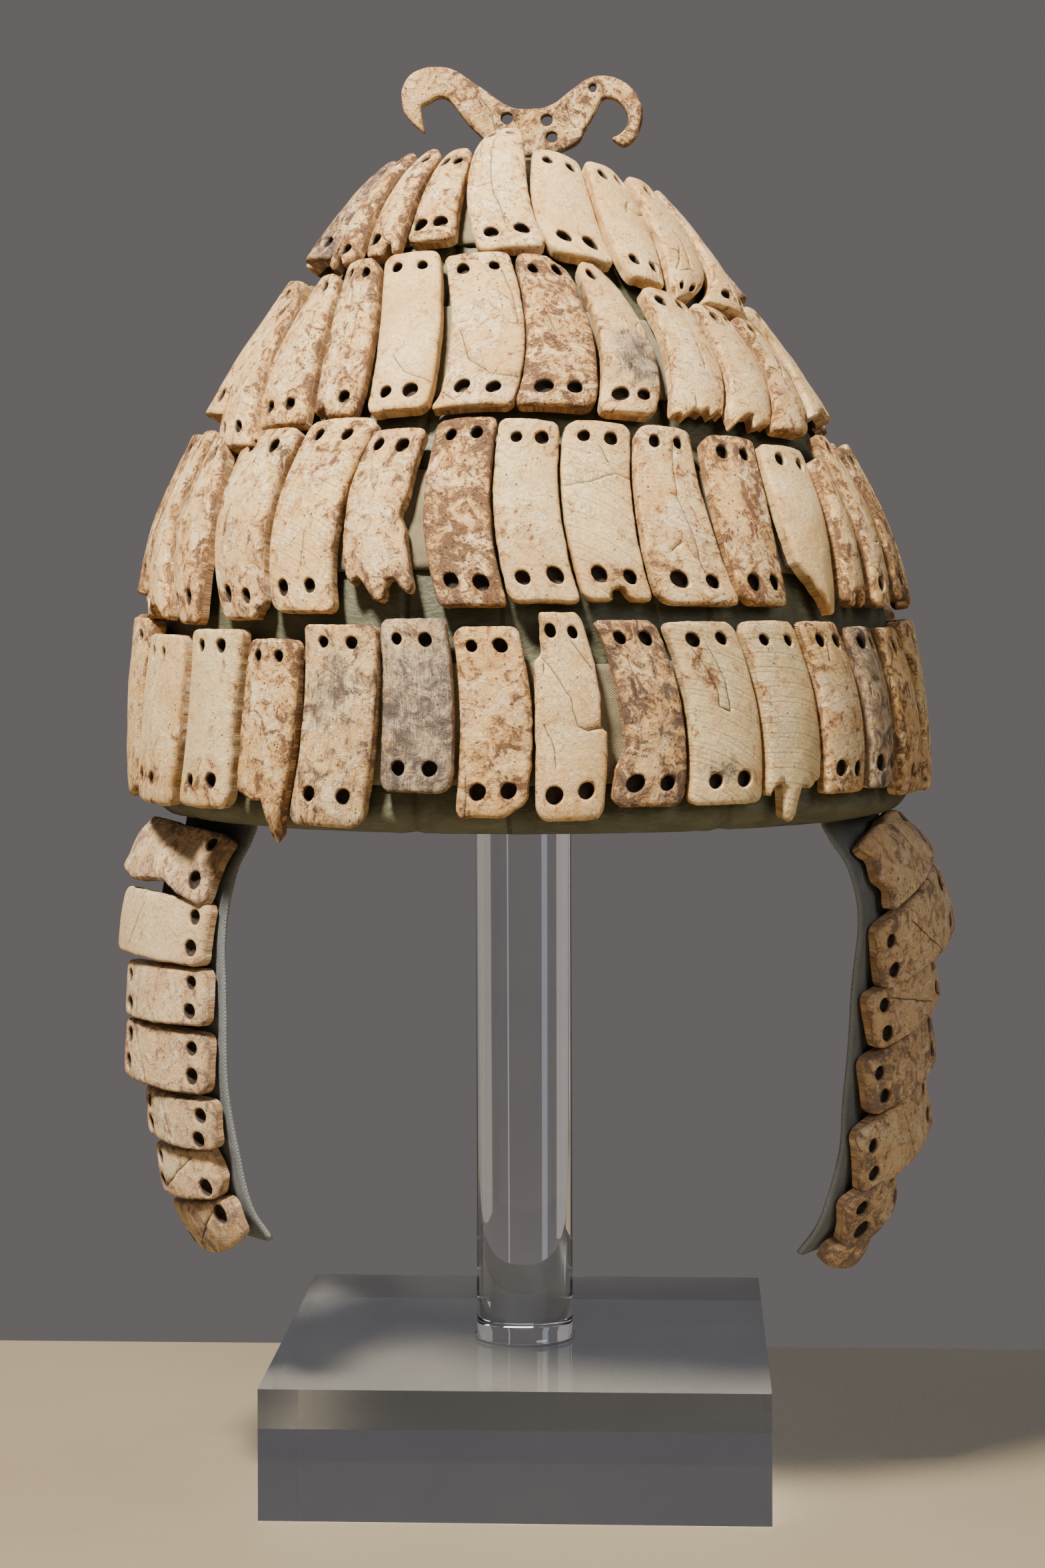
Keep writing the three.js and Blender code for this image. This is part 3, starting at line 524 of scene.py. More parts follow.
def tusk_material(name, pale):
    s = Shader(name)
    lay = s.attribute("lay")
    brown, grey, green = s.parts(s.attribute("tone", "Color"))[:3]
    rings = s.attribute("tone", "Alpha")
    worn, cracked, wall = s.parts(s.attribute("wear", "Color"))[:3]
    pit = s.attribute("wear", "Alpha")
    # The bores' walls and floors, which are painted nearly black below as painted shade.
    bore_shade_and_mark = s.attribute("bore_shade_and_mark", "Fac")
    growth = s.attribute("growth", "Fac")

    broad = s.noise(lay, 0.075, 5, 0.62, 0.4)
    patchy = s.noise(lay, 0.2, 9, 0.7, 0.9)
    mottle = s.noise(lay, 0.7, 8, 0.72, 0.5)
    grain = s.noise(lay, 3.2, 6, 0.7)
    fibres = s.noise(s.stretch(lay, 2.6, 0.22), 1.0, 5, 0.6, 0.3)
    streaks = s.noise(s.stretch(lay, 4.5, 0.3), 1.0, 6, 0.7, 0.2)

    # Cream ivory, yellower in broad patches and whiter where an outer skin is left.
    base = s.mix(s.step(broad, 0.3, 0.7), linear("#d6ae6e"), linear("#f2d49a"))
    base = s.mix(s.step(mottle, 0.48, 0.7) * 0.6, base, linear("#fdeccb"))
    wash = s.step(s.noise(lay, 0.05, 3, 0.5) + worn * 0.12, 0.42, 0.68)
    base = s.mix(wash * 0.5, base, linear("#c99a58"))
    base = s.mix(green * s.step(broad, 0.25, 0.65, 0.3, 0.75), base, linear("#c6bd92"))
    base = s.mix(s.step(fibres, 0.52, 0.72) * 0.35, base, linear("#b98f58"))
    flake = s.step(s.noise(lay, 0.11, 7, 0.62, 0.8), 0.535, 0.55) * s.step(pit, 0.02, 0.45)
    base = s.mix(flake * 0.3, base, linear("#f8ead0"))

    wave = s.math("SINE", growth * 4.6 + patchy * 7.0)
    bands = rings * s.step(wave, 0.1, 0.98)
    slow = s.math("SINE", growth * 1.4 + broad * 9.0)
    bands = bands * s.step(slow, -0.5, 0.7, 0.12, 1.0)
    base = s.mix(bands * 0.6, base, linear("#958459"))

    # Brown staining gathers in blotches, in veins, along the edges and round the holes.
    soak = brown * 0.14 + worn * 0.06
    blotch = patchy * 0.68 + mottle * 0.32 + soak
    stain = s.step(blotch, 0.545, 0.665)
    tan = s.mix(s.step(mottle, 0.35, 0.7), linear("#8a5318"), linear("#c08638"))
    base = s.mix(stain * 0.75, base, tan)
    deep = s.step(blotch + grain * 0.12, 0.69, 0.745)
    base = s.mix(deep * s.step(grain, 0.3, 0.6, 0.5, 0.95), base, linear("#4a2a13"))
    vein = s.math("ABSOLUTE", s.noise(lay, 0.3, 8, 0.66, 1.2) - 0.5)
    vein = s.step(vein, 0.012, 0.0) * s.step(broad + soak, 0.48, 0.66)
    base = s.mix(vein * 0.6, base, linear("#6d4322"))

    # Pits and specks.
    speck = s.cells(s.stretch(lay, 1.0, 0.8), 0.62)
    where = s.step(s.noise(lay, 0.42, 3, 0.6) + pit * 0.2, 0.56, 0.7)
    pits = s.step(speck + grain * 0.25, 0.36, 0.2) * where
    fine = s.cells(lay, 1.6)
    dots = s.step(fine, 0.26, 0.1) * s.step(mottle, 0.46, 0.62) * s.step(pit, 0.02, 0.55)
    base = s.mix(pits * 0.9, base, linear("#4a2a12"))
    base = s.mix(dots * 0.75, base, linear("#6b3f1c"))

    # Grey stains, in streaks along the plate.
    soot = streaks * 0.42 + patchy * 0.58
    soot = s.step(soot + grey * 0.1, 0.5, 0.66)
    cloud = s.step(s.noise(lay, 0.16, 5, 0.6, 0.5) + grey * 0.25, 0.5, 0.72)
    base = s.mix(cloud * grey * 0.6, base, linear("#8d8279"))
    base = s.mix(soot * s.step(grey, 0.0, 0.4) * 0.85, base, linear("#322a2b"))

    base = s.mix(pale, base, linear("#978d84"))
    # Broken flanks are darker and orange. The bores' walls and blind floors are painted nearly black, as painted shade
    # for the dark inside of a drilled hole.
    flank = s.mix(s.step(mottle, 0.35, 0.65), linear("#744a26"), linear("#c79f6a"))
    base = s.mix(wall * s.step(patchy, 0.42, 0.66, 0.12, 0.75), base, flank)
    base = s.mix(bore_shade_and_mark * 0.94, base, linear("#170d07"))
    base = s.mix(cracked * 0.9, base, linear("#2b180c"))

    height = mottle * 0.75 + grain * 0.1 + flake * 0.35 - pits * 0.45 - dots * 0.14 - bands * 0.07
    s.bump(height + fibres * 0.12 - deep * 0.12 - vein * 0.1, 1.0)
    rough = s.math("ADD", s.step(mottle, 0.3, 0.7, 0.4, 0.6), stain * 0.14, clamp=True)
    return s.finish(Base_Color=base, Roughness=rough, IOR=1.5, Subsurface_Weight=0.08,
                    Subsurface_Radius=(0.003, 0.0018, 0.001), Subsurface_Scale=1.0)


def leather_material():
    s = Shader("cap_leather")
    lay = s.attribute("lay")
    seam = s.attribute("bore_shade_and_mark", "Fac")
    broad = s.noise(lay, 0.03, 5, 0.6)
    creases = s.noise(s.stretch(lay, 0.5, 1.4), 0.35, 7, 0.65, 1.2)
    pebble = s.cells(lay, 0.9)
    fine = s.noise(lay, 2.5, 4, 0.6)
    base = s.mix(s.step(broad, 0.3, 0.7), linear("#3d3e2e"), linear("#555642"))
    base = s.mix(s.step(creases, 0.42, 0.62) * 0.4, base, linear("#666750"))
    base = s.mix(s.step(fine, 0.55, 0.7) * 0.25, base, linear("#3f3d2b"))
    base = s.mix(seam * 0.8, base, linear("#2a281b"))
    height = pebble * 0.1 + creases * 0.4
    height = height + fine * 0.05
    s.bump(height, 0.8)
    return s.finish(Base_Color=base, Roughness=s.step(fine, 0.3, 0.7, 0.42, 0.62), Specular_IOR_Level=0.45)


def cloth_material(name, light, dark, thread, fuzz):
    s = Shader(name)
    lay = s.attribute("lay")
    edge = s.attribute("bore_shade_and_mark", "Fac")
    broad = s.noise(lay, 0.08, 6, 0.65, 0.5)
    fluff = s.noise(lay, 1.6, 8, 0.75, 1.5)
    warp = s.math("SINE", s.value("ShaderNodeSeparateXYZ", 0, {0: lay}) * thread)
    weft = s.math("SINE", s.value("ShaderNodeSeparateXYZ", 1, {0: lay}) * thread)
    weave = warp * weft
    base = s.mix(s.step(broad, 0.3, 0.7), linear(dark), linear(light))
    base = s.mix(s.step(fluff, 0.4, 0.7) * 0.35, base, linear(light))
    base = s.mix(s.step(weave, 0.0, 1.0) * 0.18, base, linear(dark))
    base = s.mix(edge * 0.7, base, linear("#858c8d"))
    height = weave * 0.09 + fluff * fuzz
    s.bump(height, 0.9)
    return s.finish(Base_Color=base, Roughness=s.step(fluff, 0.3, 0.7, 0.85, 0.98), Sheen_Weight=0.25)


def acrylic_material(name, light, dark, haze):
    s = Shader(name)
    spot = s.value("ShaderNodeTexCoord", "Object")
    dust = s.noise(spot, 900.0, 6, 0.7)
    smear = s.noise(spot, 18.0, 4, 0.6, 0.6)
    rough = s.math("ADD", s.step(smear, 0.45, 0.8, 0.0, haze), s.step(dust, 0.7, 0.8, 0.0, haze), clamp=True)
    tint = s.mix(s.step(smear, 0.3, 0.7), linear(dark), linear(light))
    return s.finish(Base_Color=tint, Roughness=rough, IOR=1.49, Transmission_Weight=1.0)


def floor_material():
    s = Shader("shelf")
    spot = s.value("ShaderNodeTexCoord", "Object")
    cloud = s.noise(spot, 3.0, 6, 0.6)
    grit = s.noise(spot, 700.0, 4, 0.7)
    base = s.mix(s.step(cloud, 0.35, 0.65), linear("#786d58"), linear("#81765f"))
    base = s.mix(s.step(grit, 0.5, 0.7) * 0.12, base, linear("#6c624e"))
    s.bump(grit * 0.05, 0.4)
    return s.finish(Base_Color=base, Roughness=s.step(grit, 0.3, 0.7, 0.5, 0.62))


TUSK = tusk_material("tusk", 0.04)
TUSK_PALE = tusk_material("tusk_strap", 0.36)
LEATHER = leather_material()
BACKING = cloth_material("backing", "#8b8062", "#665c44", 9.0, 0.3)
FELT = cloth_material("strap_felt", "#565c5e", "#383c3e", 6.0, 0.45)
ACRYLIC = acrylic_material("acrylic", "#eef1f5", "#e4e8ee", 0.04)
BLOCK = acrylic_material("acrylic_block", "#c4cddd", "#bac4d6", 0.008)


# ---- The camera of the photograph: level, with its view shifted down.
CAMERA_SPOT = (47.6, -980.8, 277.4)
CAMERA_YAW = -2.78
CAMERA_ROLL = -0.18
FOCAL_SHARE = 4709 / 2352  # focal length over the picture's long side
camera = bpy.data.objects.new("camera", bpy.data.cameras.new("camera"))
camera.data.sensor_width = 36
camera.data.lens = 36 * FOCAL_SHARE
camera.data.shift_y = -320 / 2352
camera.data.clip_start, camera.data.clip_end = 0.01, 50
ahead = Vector((math.sin(CAMERA_YAW * RADIANS), math.cos(CAMERA_YAW * RADIANS), 0))
level = Vector((ahead.y, -ahead.x, 0))
c, s = math.cos(CAMERA_ROLL * RADIANS), math.sin(CAMERA_ROLL * RADIANS)
right = level * c + Vector((0, 0, 1)) * s
upward = Vector((0, 0, 1)) * c - level * s
camera.matrix_world = Matrix([
    (right[k], upward[k], -ahead[k], CAMERA_SPOT[k] * MM) for k in range(3)
] + [(0, 0, 0, 1)])
bpy.context.scene.collection.objects.link(camera)
bpy.context.scene.camera = camera


def area_light(name, spot, aim, size, power, colour):
    light = bpy.data.lights.new(name, "AREA")
    light.size, light.energy, light.color = size, power, colour
    obj = bpy.data.objects.new(name, light)
    obj.location = spot
    obj.rotation_mode = "QUATERNION"
    obj.rotation_quaternion = (Vector(aim) - Vector(spot)).to_track_quat("-Z", "Y")
    bpy.context.scene.collection.objects.link(obj)
    return obj


ROD_ONLY = bpy.data.collections.new("rod_only")


def panel(name, bearing, wide, glow, colour):
    """A tall soft panel beside the object, bearing degrees from straight behind, that the clear rod mirrors."""
    reach, tall = 1.5, 1.6
    spot = (reach * math.sin(bearing * RADIANS), reach * math.cos(bearing * RADIANS), 0.4)
    obj = area_light(name, spot, (0, 0, 0.4), wide, glow * math.pi * wide * tall, colour)
    obj.data.shape, obj.data.size_y = "RECTANGLE", tall
    obj.visible_camera = False
    obj.light_linking.receiver_collection = ROD_ONLY


area_light("key", (-0.4, -0.7, 1.4), (0, 0, 0.3), 0.2, 80, (1.0, 0.91, 0.78))
area_light("fill", (0.9, -0.9, 0.8), (0, 0, 0.25), 0.6, 6, (1.0, 0.95, 0.9))
area_light("back", (0.1, 1.3, 1.3), (0, 0, 0.25), 0.8, 7, (0.95, 0.97, 1.0))
for streak in (
    ("panel_right", 52, 1.3, 0.2, (1.0, 0.93, 0.72)),
    ("panel_left", -48, 0.75, 0.24, (1.0, 0.88, 0.82)),
    ("strip_left", -69, 0.1, 0.8, (1.0, 0.98, 0.95)),
    ("strip_middle", -20, 0.14, 0.2, (0.8, 0.85, 1.0)),
    ("strip_right", 10, 0.03, 0.26, (0.85, 0.88, 1.0)),
):
    panel(*streak)
world = bpy.data.worlds.new("studio")
world.use_nodes = True
world.node_tree.nodes["Background"].inputs["Color"].default_value = linear("#757070")
world.node_tree.nodes["Background"].inputs["Strength"].default_value = 0.78
bpy.context.scene.world = world

FLOOR_CLEARANCE = -0.15  # an air film under the block, so that it mirrors as a real one does
FLOOR_BACK = 143.0  # how far the floor goes on behind the axis, as in the photograph
floor_mesh = bpy.data.meshes.new("floor")
w, d, t = 2500 * MM, FLOOR_BACK * MM, 40 * MM
floor_mesh.from_pydata(
    [(x, y, z) for z in (-t, FLOOR_CLEARANCE * MM) for x, y in ((-w, -w), (w, -w), (w, d), (-w, d))], [],
    [(3, 2, 1, 0), (4, 5, 6, 7), (0, 1, 5, 4), (1, 2, 6, 5), (2, 3, 7, 6), (3, 0, 4, 7)],
)
floor_mesh.materials.append(floor_material())
floor = bpy.data.objects.new("floor", floor_mesh)
bpy.context.scene.collection.objects.link(floor)


def sheet_mesh(name, outer, inner, material, lay, mark=None, loop=False):
    """A closed skin between two grids of points, rows by columns. loop joins the last column to the first."""
    rows, cols = outer.shape[:2]
    points = np.concatenate([outer.reshape(-1, 3), inner.reshape(-1, 3)])
    at = lambda r, c, k: k * rows * cols + r * cols + c % cols
    faces = []
    wide = cols if loop else cols - 1
    for r in range(rows - 1):
        for c in range(wide):
            faces.append((at(r, c, 0), at(r, c + 1, 0), at(r + 1, c + 1, 0), at(r + 1, c, 0)))
            faces.append((at(r, c, 1), at(r + 1, c, 1), at(r + 1, c + 1, 1), at(r, c + 1, 1)))
    for r, flip in ((0, False), (rows - 1, True)):
        for c in range(wide):
            quad = (at(r, c, 1), at(r, c + 1, 1), at(r, c + 1, 0), at(r, c, 0))
            faces.append(quad[::-1] if flip else quad)
    if not loop:
        for c, flip in ((0, True), (cols - 1, False)):
            for r in range(rows - 1):
                quad = (at(r, c, 1), at(r + 1, c, 1), at(r + 1, c, 0), at(r, c, 0))
                faces.append(quad[::-1] if flip else quad)
    mesh = bpy.data.meshes.new(name)
    mesh.from_pydata((points * MM).tolist(), [], faces)
    mesh.update()
    mesh.shade_smooth()
    put(mesh, "lay", "FLOAT_VECTOR", np.concatenate([lay.reshape(-1, 3)] * 2))
    flags = np.zeros(rows * cols) if mark is None else mark.ravel()
    put(mesh, "bore_shade_and_mark", "FLOAT", np.concatenate([flags, flags]))
    mesh.materials.append(material)
    obj = bpy.data.objects.new(name, mesh)
    bpy.context.scene.collection.objects.link(obj)
    return obj


# ---- The leather cap: eight gores sewn together, with a soft rolled hem tucked at the seams.
SEAMS = [-14 + 45 * k for k in range(8)]


def cap_shell():
    shares = np.r_[np.linspace(0, 0.05, 14), np.linspace(0.058, 0.97, 118), 0.985, 0.996]
    bearings = np.arange(480) * 360 / 480
    share, bearing = np.meshgrid(shares, bearings, indexing="ij")
    radius = CAP.at(share)[..., 0]
    along = share * CAP.length
    across = bearing * RADIANS * 100
    bump = 0.9 * fractal(across, along, 38, 2, 4) + 0.25 * fractal(across * 1.3, along, 7, 3, 3)
    seam = np.zeros_like(share)
    for k, at in enumerate(SEAMS):
        line = at + 1.2 * fractal(along, along * 0 + k, 40, 5, 2)
        gap = (bearing - line + 180) % 360 - 180
        dx = gap * RADIANS * radius
        fade = np.clip((0.99 - share) / 0.05, 0, 1)
        bump = bump + fade * (-0.9 * np.exp(-((dx / 0.7) ** 2)) + 0.5 * np.exp(-(((np.abs(dx) - 1.9) / 1.1) ** 2)))
        tuck = np.exp(-((dx / 2.6) ** 2)) * np.exp(-along / 9)
        pucker = np.exp(-((dx / 9) ** 2)) * np.exp(-along / 14)
        bump = bump - 2.2 * tuck + 0.7 * pucker * np.sin(dx * 0.9)
        seam = np.maximum(seam, fade * np.exp(-((dx / 0.55) ** 2)))
    roll = 1.6 * np.exp(-(((along - 5) / 4.5) ** 2))
    hem = -0.8 * np.exp(-(((along - 15) / 2.2) ** 2))
    offset = bump * np.clip(along / 6 + 0.4, 0, 1) + roll + hem
    wave = 0.9 * fractal(bearing * 2, bearing * 0, 40, 8, 3) * np.exp(-along / 16)
    outer = cap_point(share, bearing, offset)
    outer[..., 2] += wave
    # The hem turns under with a round edge.
    outer_edge = cap_point(share * 0, bearing, offset[0][None] - 1.6)
    outer = np.concatenate([outer_edge[:1] + np.array([0, 0, -1.1]), outer])
    inner_offset = np.where(along < 20, -3.4, -2.5) + 0.3 * bump
    inner = cap_point(share, bearing, inner_offset)
    inner[..., 2] += wave
    inner = np.concatenate([cap_point(share[:1], bearing[:1], inner_offset[:1] + 0.8) + np.array([0, 0, -0.9]), inner])
    lay = np.stack([across, along, bump], -1)
    lay = np.concatenate([lay[:1] - np.array([0, 1.5, 0]), lay])
    seam = np.concatenate([seam[:1], seam])
    return sheet_mesh("leather_cap_shell", outer, inner, LEATHER, lay, seam, loop=True)


settle(cap_shell(), "cap_leather", "leather_cap")


# ---- The rows of plates. An edge gives its bearings at the foot, the middle and the top of the row. drop
# and rise lengthen a plate at its foot and top, as shares of the row's length. tone gives brown, grey,
# green and growth-ring amounts.
PLATE_BASE = 2.5  # from the leather to a plate's underside
PLATE_THICK = 4.2
PLATE_BULGE = 1.3
DRILL_RADIUS = 2.25
ROLL = 2.0  # how far a plate's front-facing flank is raised

ROWS = [
    dict(name="row_1", foot=0.706, top=0.869, foot_dip=0.38, top_dip=0.3, band=(0.2, 0.8), count=18),
    dict(name="row_2", foot=0.477, top=0.691, foot_dip=0.05, top_dip=0.3, band=(0.16, 0.76), count=26),
    dict(name="row_3", foot=0.25, top=0.456, foot_dip=0.04, top_dip=0.06, band=(0.2, 0.8), count=29),
    dict(name="row_4", foot=0.02, top=0.232, foot_dip=0, top_dip=0, band=(0.16, 0.8), count=30),
]


def plate(node, left, right, rise=0.0, drop=0.0, tone=(0.4, 0, 0, 0), pit=0.4, holes="both", **more):
    return dict(node=node, left=left, right=right, rise=rise, drop=drop, tone=tone, pit=pit, holes=holes, **more)


FRONT = {
    "row_1": [
        plate(None, (-56, -62, -64), (-43, -47, -50), 0.04, 0.12, (0.8, 0, 0, 0), 0.6,
              foot=[(-1, 3), (-0.5, 1), (0, 5), (0.4, 1.5), (1, 4)]),
        plate(1, (-40, -45, -47), (-28.5, -31, -31), 0.04, 0.02, (0.6, 0.1, 0, 0), 0.5,
              foot=[(-1, 0), (0.2, 0), (0.3, 4), (0.62, 4.6), (0.7, 0.5), (1, 1)]),
        plate(2, (-27, -29, -30), (-11.8, -13.4, -13), 0.02, -0.09, (0.5, 0, 0.1, 0.2), 0.45),
        plate(3, (-5.6, -11, -13), (12.4, 9.4, 11), 0.34, 0.03, (0.32, 0.05, 0, 0), 0.5, lift=1.6,
              cracks=[[(-0.1, 0.98), (-0.2, 0.7), (-0.12, 0.4), (0.0, 0.3), (0.05, 0.16)]]),
        plate(4, (13.7, 10.2, 15), (30.8, 31.3, 37), 0.04, 0.03, (0.05, 0, 0, 0), 0.05),
        plate(5, (31.8, 32.5, 38), (44.2, 50.8, 56), 0.02, 0.14, (0.06, 0, 0, 0), 0.08,
              cracks=[[(0.1, 0.62), (0.5, 0.6), (0.9, 0.64)]]),
        plate(6, (45.5, 52, 58), (57, 73, 76), 0.0, 0.26, (0.25, 0, 0, 0), 0.2,
              foot=[(-1, 2.5), (-0.7, 0), (0.6, 0), (1, 2)], cracks=[[(-0.5, 0.24), (0.0, 0.28), (0.5, 0.24)]]),
        plate(None, (60, 75, 78), (79, 93, 96), 0.0, 0.2, (0.3, 0, 0, 0), 0.3),
    ],
    "row_2": [
        plate(None, (-65, -72.8, -66), (-49.8, -56.4, -55), -0.2, 0.2, (0.55, 0, 0, 0), 0.4),
        plate(1, (-49, -55.5, -54), (-35.8, -40.2, -45.8), -0.06, 0.08, (0.62, 0, 0, 0.1), 0.6),
        plate(2, (-34.8, -39.2, -45), (-25.6, -26.9, -33.2), 0.03, 0.04, (0.7, 0.15, 0, 0), 0.75,
              foot=[(-1, 0.5), (-0.75, 3.4), (-0.4, 3.6), (-0.25, 0), (1, 0)]),
        plate(3, (-23.9, -26, -32), (-12.4, -12.1, -15.3), 0.06, 0.01, (0.08, 0, 0.05, 0.15), 0.08,
              cracks=[[(-0.3, 0.32), (0.1, 0.22), (0.9, 0.16)]]),
        plate(4, (-11.6, -10.1, -14.3), (1.9, 5.1, 2.8), 0.04, -0.01, (0.34, 0.08, 0.05, 0.2), 0.45,
              left_side=[(0, -1.4), (0.08, 0), (1, 0)],
              cracks=[[(-0.7, 0.48), (-0.4, 0.28), (0.25, 0.19), (0.9, 0.17)],
                      [(-0.9, 0.1), (-0.5, 0.04), (-0.3, 0.08)], [(0.55, 0.97), (0.75, 0.7), (0.8, 0.5)]]),
        plate(5, (2.2, 5.3, 3.7), (16.1, 19, 16.7), 0.03, -0.01, (0.85, 0.05, 0, 0.25), 0.95, relief=0.42,
              top_side=[(-1, 0), (0.35, 0), (0.55, 1.8), (1, 2.6)]),
        plate(6, (16.6, 20, 18.4), (27.2, 31.3, 26.4), 0.01, 0.03, (0.25, 0.15, 0, 0), 0.3, holes="one",
              stains=[(0.25, 0.4, 7, 9, 1, 0.95), (0.3, 0.2, 6, 5, 1, 0.4)],
              top_side=[(-1, 1.5), (-0.4, 0), (0.2, 0), (1, 5)]),
        plate(7, (29.8, 33.8, 32.5), (40.6, 46.9, 44.4), -0.1, 0.05, (0.28, 0, 0.08, 0), 0.35, holes="top",
              foot=[(-1, 0), (-0.7, 2), (-0.5, 0.3), (-0.2, 3.4), (0.1, 2.2), (0.3, 5), (0.5, 1.5),
                    (0.8, 4.5), (1, 2)]),
        plate(8, (41.2, 47.5, 45), (53, 60, 57), -0.14, 0.09, (0.3, 0, 0.05, 0.1), 0.3, holes="top",
              foot=[(-1, 4), (-0.6, 0), (-0.3, 4.8), (0, 5), (0.2, 0), (0.7, 3), (1, 0)]),
        plate(None, (53, 60.5, 57.5), (66, 74, 70), -0.16, 0.1, (0.6, 0, 0, 0), 0.5, holes="top"),
    ],
    "row_3": [
        plate(None, (-71, -75, -70), (-58, -64, -62.5), 0.02, 0.11, (0.45, 0, 0, 0), 0.4,
              foot=[(-1, 0), (-0.4, 2.5), (-0.1, 5), (0.3, 4.5), (0.6, 1), (1, 4)]),
        plate(None, (-57.2, -63.1, -62), (-49, -50.5, -55), -0.03, 0.11, (0.75, 0, 0, 0), 0.6),
        plate(1, (-44.8, -49.9, -49.8), (-35.2, -37.2, -35.5), 0, 0.08, (0.5, 0.2, 0.1, 0.1), 0.5,
              foot=[(-1, 0), (0.5, 0), (0.8, 3), (1, 4)]),
        plate(2, (-34.5, -36.5, -34.8), (-23.7, -24.2, -20.7), 0.05, 0.04, (0.45, 0.05, 0, 0.75), 0.5,
              stains=[(0.2, 0.75, 7, 7, 0, 0.4), (0, 0.2, 9, 12, 0, -0.35)]),
        plate(3, (-21.3, -23.7, -21.6), (-11.3, -13.8, -11.4), -0.02, -0.06, (0.6, 0.2, 0.1, 0.1), 0.7, holes="top",
              foot=[(-1, 4), (-0.8, 2), (-0.6, 4.5), (-0.45, 3), (-0.3, -1.5), (-0.1, -2.8),
                    (0.12, -1.5), (0.25, 3), (0.5, 4), (0.65, 0.5), (0.8, 0), (1, 1)],
              right_side=[(0, 0), (0.35, 0), (0.45, 1.8), (0.55, 0), (1, 0)]),
        plate(4, (-8.8, -11.4, -10.5), (0.6, -1.5, -0.5), 0.04, 0.01, (0.95, 0.05, 0, 0.1), 1.0, relief=0.45,
              stains=[(0, 0.3, 9, 9, 0, 0.3)]),
        plate(5, (1.1, -1, 0), (10.7, 8.6, 9.9), 0.03, -0.01, (0.15, 0, 0.35, 0.2), 0.25,
              stains=[(-0.3, 0.35, 6, 6, 0, 0.45), (0.2, 0.2, 5, 4, 0, 0.3)]),
        plate(6, (11.2, 9.1, 10.4), (20.9, 19.4, 21.9), 0.02, -0.02, (0.12, 0, 0.3, 0.8), 0.15,
              foot=[(-1, 0), (-0.25, 0), (-0.1, 3), (0.15, 3), (0.3, 0), (1, 0)],
              stains=[(0.1, 0.12, 8, 4, 0, 0.6)], cracks=[[(-0.9, 0.6), (-0.3, 0.62), (0.5, 0.68), (0.9, 0.66)]]),
        plate(7, (21.4, 19.9, 22.4), (34.2, 31.2, 32.5), 0, 0, (0.45, 0, 0.1, 0.6), 0.55,
              cracks=[[(0.2, 0.9), (0.1, 0.55), (0.3, 0.35), (0.25, 0.2)]]),
        plate(8, (34.4, 32.3, 34.2), (42.5, 42.7, 45.7), -0.04, 0, (0.7, 0, 0, 0), 0.7,
              stains=[(0.4, 0.6, 5, 12, 0, 0.4), (-0.5, 0.5, 4, 12, 0, -0.5)]),
        plate(9, (47, 44, 46), (52, 55.2, 58), -0.08, 0.02, (0.05, 0, 0.25, 0.1), 0.05, holes="top",
              foot=[(-1, 12), (-0.5, 6), (0, 2), (0.5, -1), (0.8, -1), (1, 1)]),
        plate(10, (53.5, 56.8, 59), (60.8, 62.8, 62), -0.14, 0, (0.7, 0, 0, 0), 0.6, holes="foot",
              foot=[(-1, 0), (-0.3, 0), (-0.2, 4), (0.3, 4), (0.5, 0), (1, 3)]),
        plate(None, (61.8, 64, 63.5), (70, 74, 70), 0.02, 0, (0.55, 0, 0, 0), 0.4),
    ],
    "row_4": [
        plate(None, (-74.4, -69.8, -66.5), (-56.2, -52.6, -53), -0.08, -0.01, (0.2, 0.1, 0.2, 0.1), 0.4,
              stains=[(0.2, 0.2, 7, 9, 0, 0.6)]),
        plate(1, (-54.9, -51.5, -51.9), (-41.7, -40.1, -38.9), -0.04, -0.02, (0.12, 0.1, 0.6, 0.15), 0.2,
              stains=[(0, 0.12, 9, 7, 0, 0.6)]),
        plate(2, (-40.9, -39.3, -38.1), (-32.2, -29.4, -29.6), -0.09, 0.04, (0.75, 0, 0, 0.1), 0.7, holes="top",
              foot=[(-1, 8), (-0.6, 7), (-0.2, 5.5), (0.2, 6), (0.45, 2), (0.65, -2), (0.85, -3), (1, 2)]),
        plate(3, (-31.4, -28.6, -28.8), (-19.6, -17.5, -17.4), -0.01, 0.02, (0.4, 0.35, 0, 0.1), 0.55,
              stains=[(-0.1, 0.62, 8, 12, 1, 0.45)]),
        plate(4, (-17.9, -16.7, -17), (-8.2, -6.9, -7.9), 0.02, -0.13, (0.15, 0.95, 0, 0.1), 0.4,
              stains=[(0, 0.42, 11, 12, 1, 0.4), (-0.2, 0.92, 9, 5, 1, -0.5)]),
        plate(5, (-7.4, -6.2, -7.2), (1.7, 3.3, 1.7), -0.02, -0.02, (0.5, 0, 0, 0.2), 0.45,
              foot=[(-1, -1.5), (-0.5, 0), (0.4, 0), (1, 3)], stains=[(0.2, 0.3, 8, 12, 0, 0.4)]),
        plate(6, (3.2, 3.7, 3.8), (11.9, 12.9, 10.8), 0.05, -0.01, (0.12, 0.05, 0.05, 0.15), 0.25,
              left_side=[(0, 0), (0.75, 0), (0.8, 2.4), (1, 2.6)],
              right_side=[(0, 0), (0.42, 0), (0.43, 1.6), (0.6, 0.6), (0.75, 0.4), (1, 1)],
              cracks=[[(-0.95, 0.82), (-0.5, 0.72), (0.0, 0.58), (0.15, 0.44), (0.45, 0.42), (0.8, 0.43)],
                      [(0.1, 0.93), (0.4, 0.82), (0.75, 0.72)], [(-0.75, 0.45), (-0.5, 0.33), (-0.45, 0.25)]]),
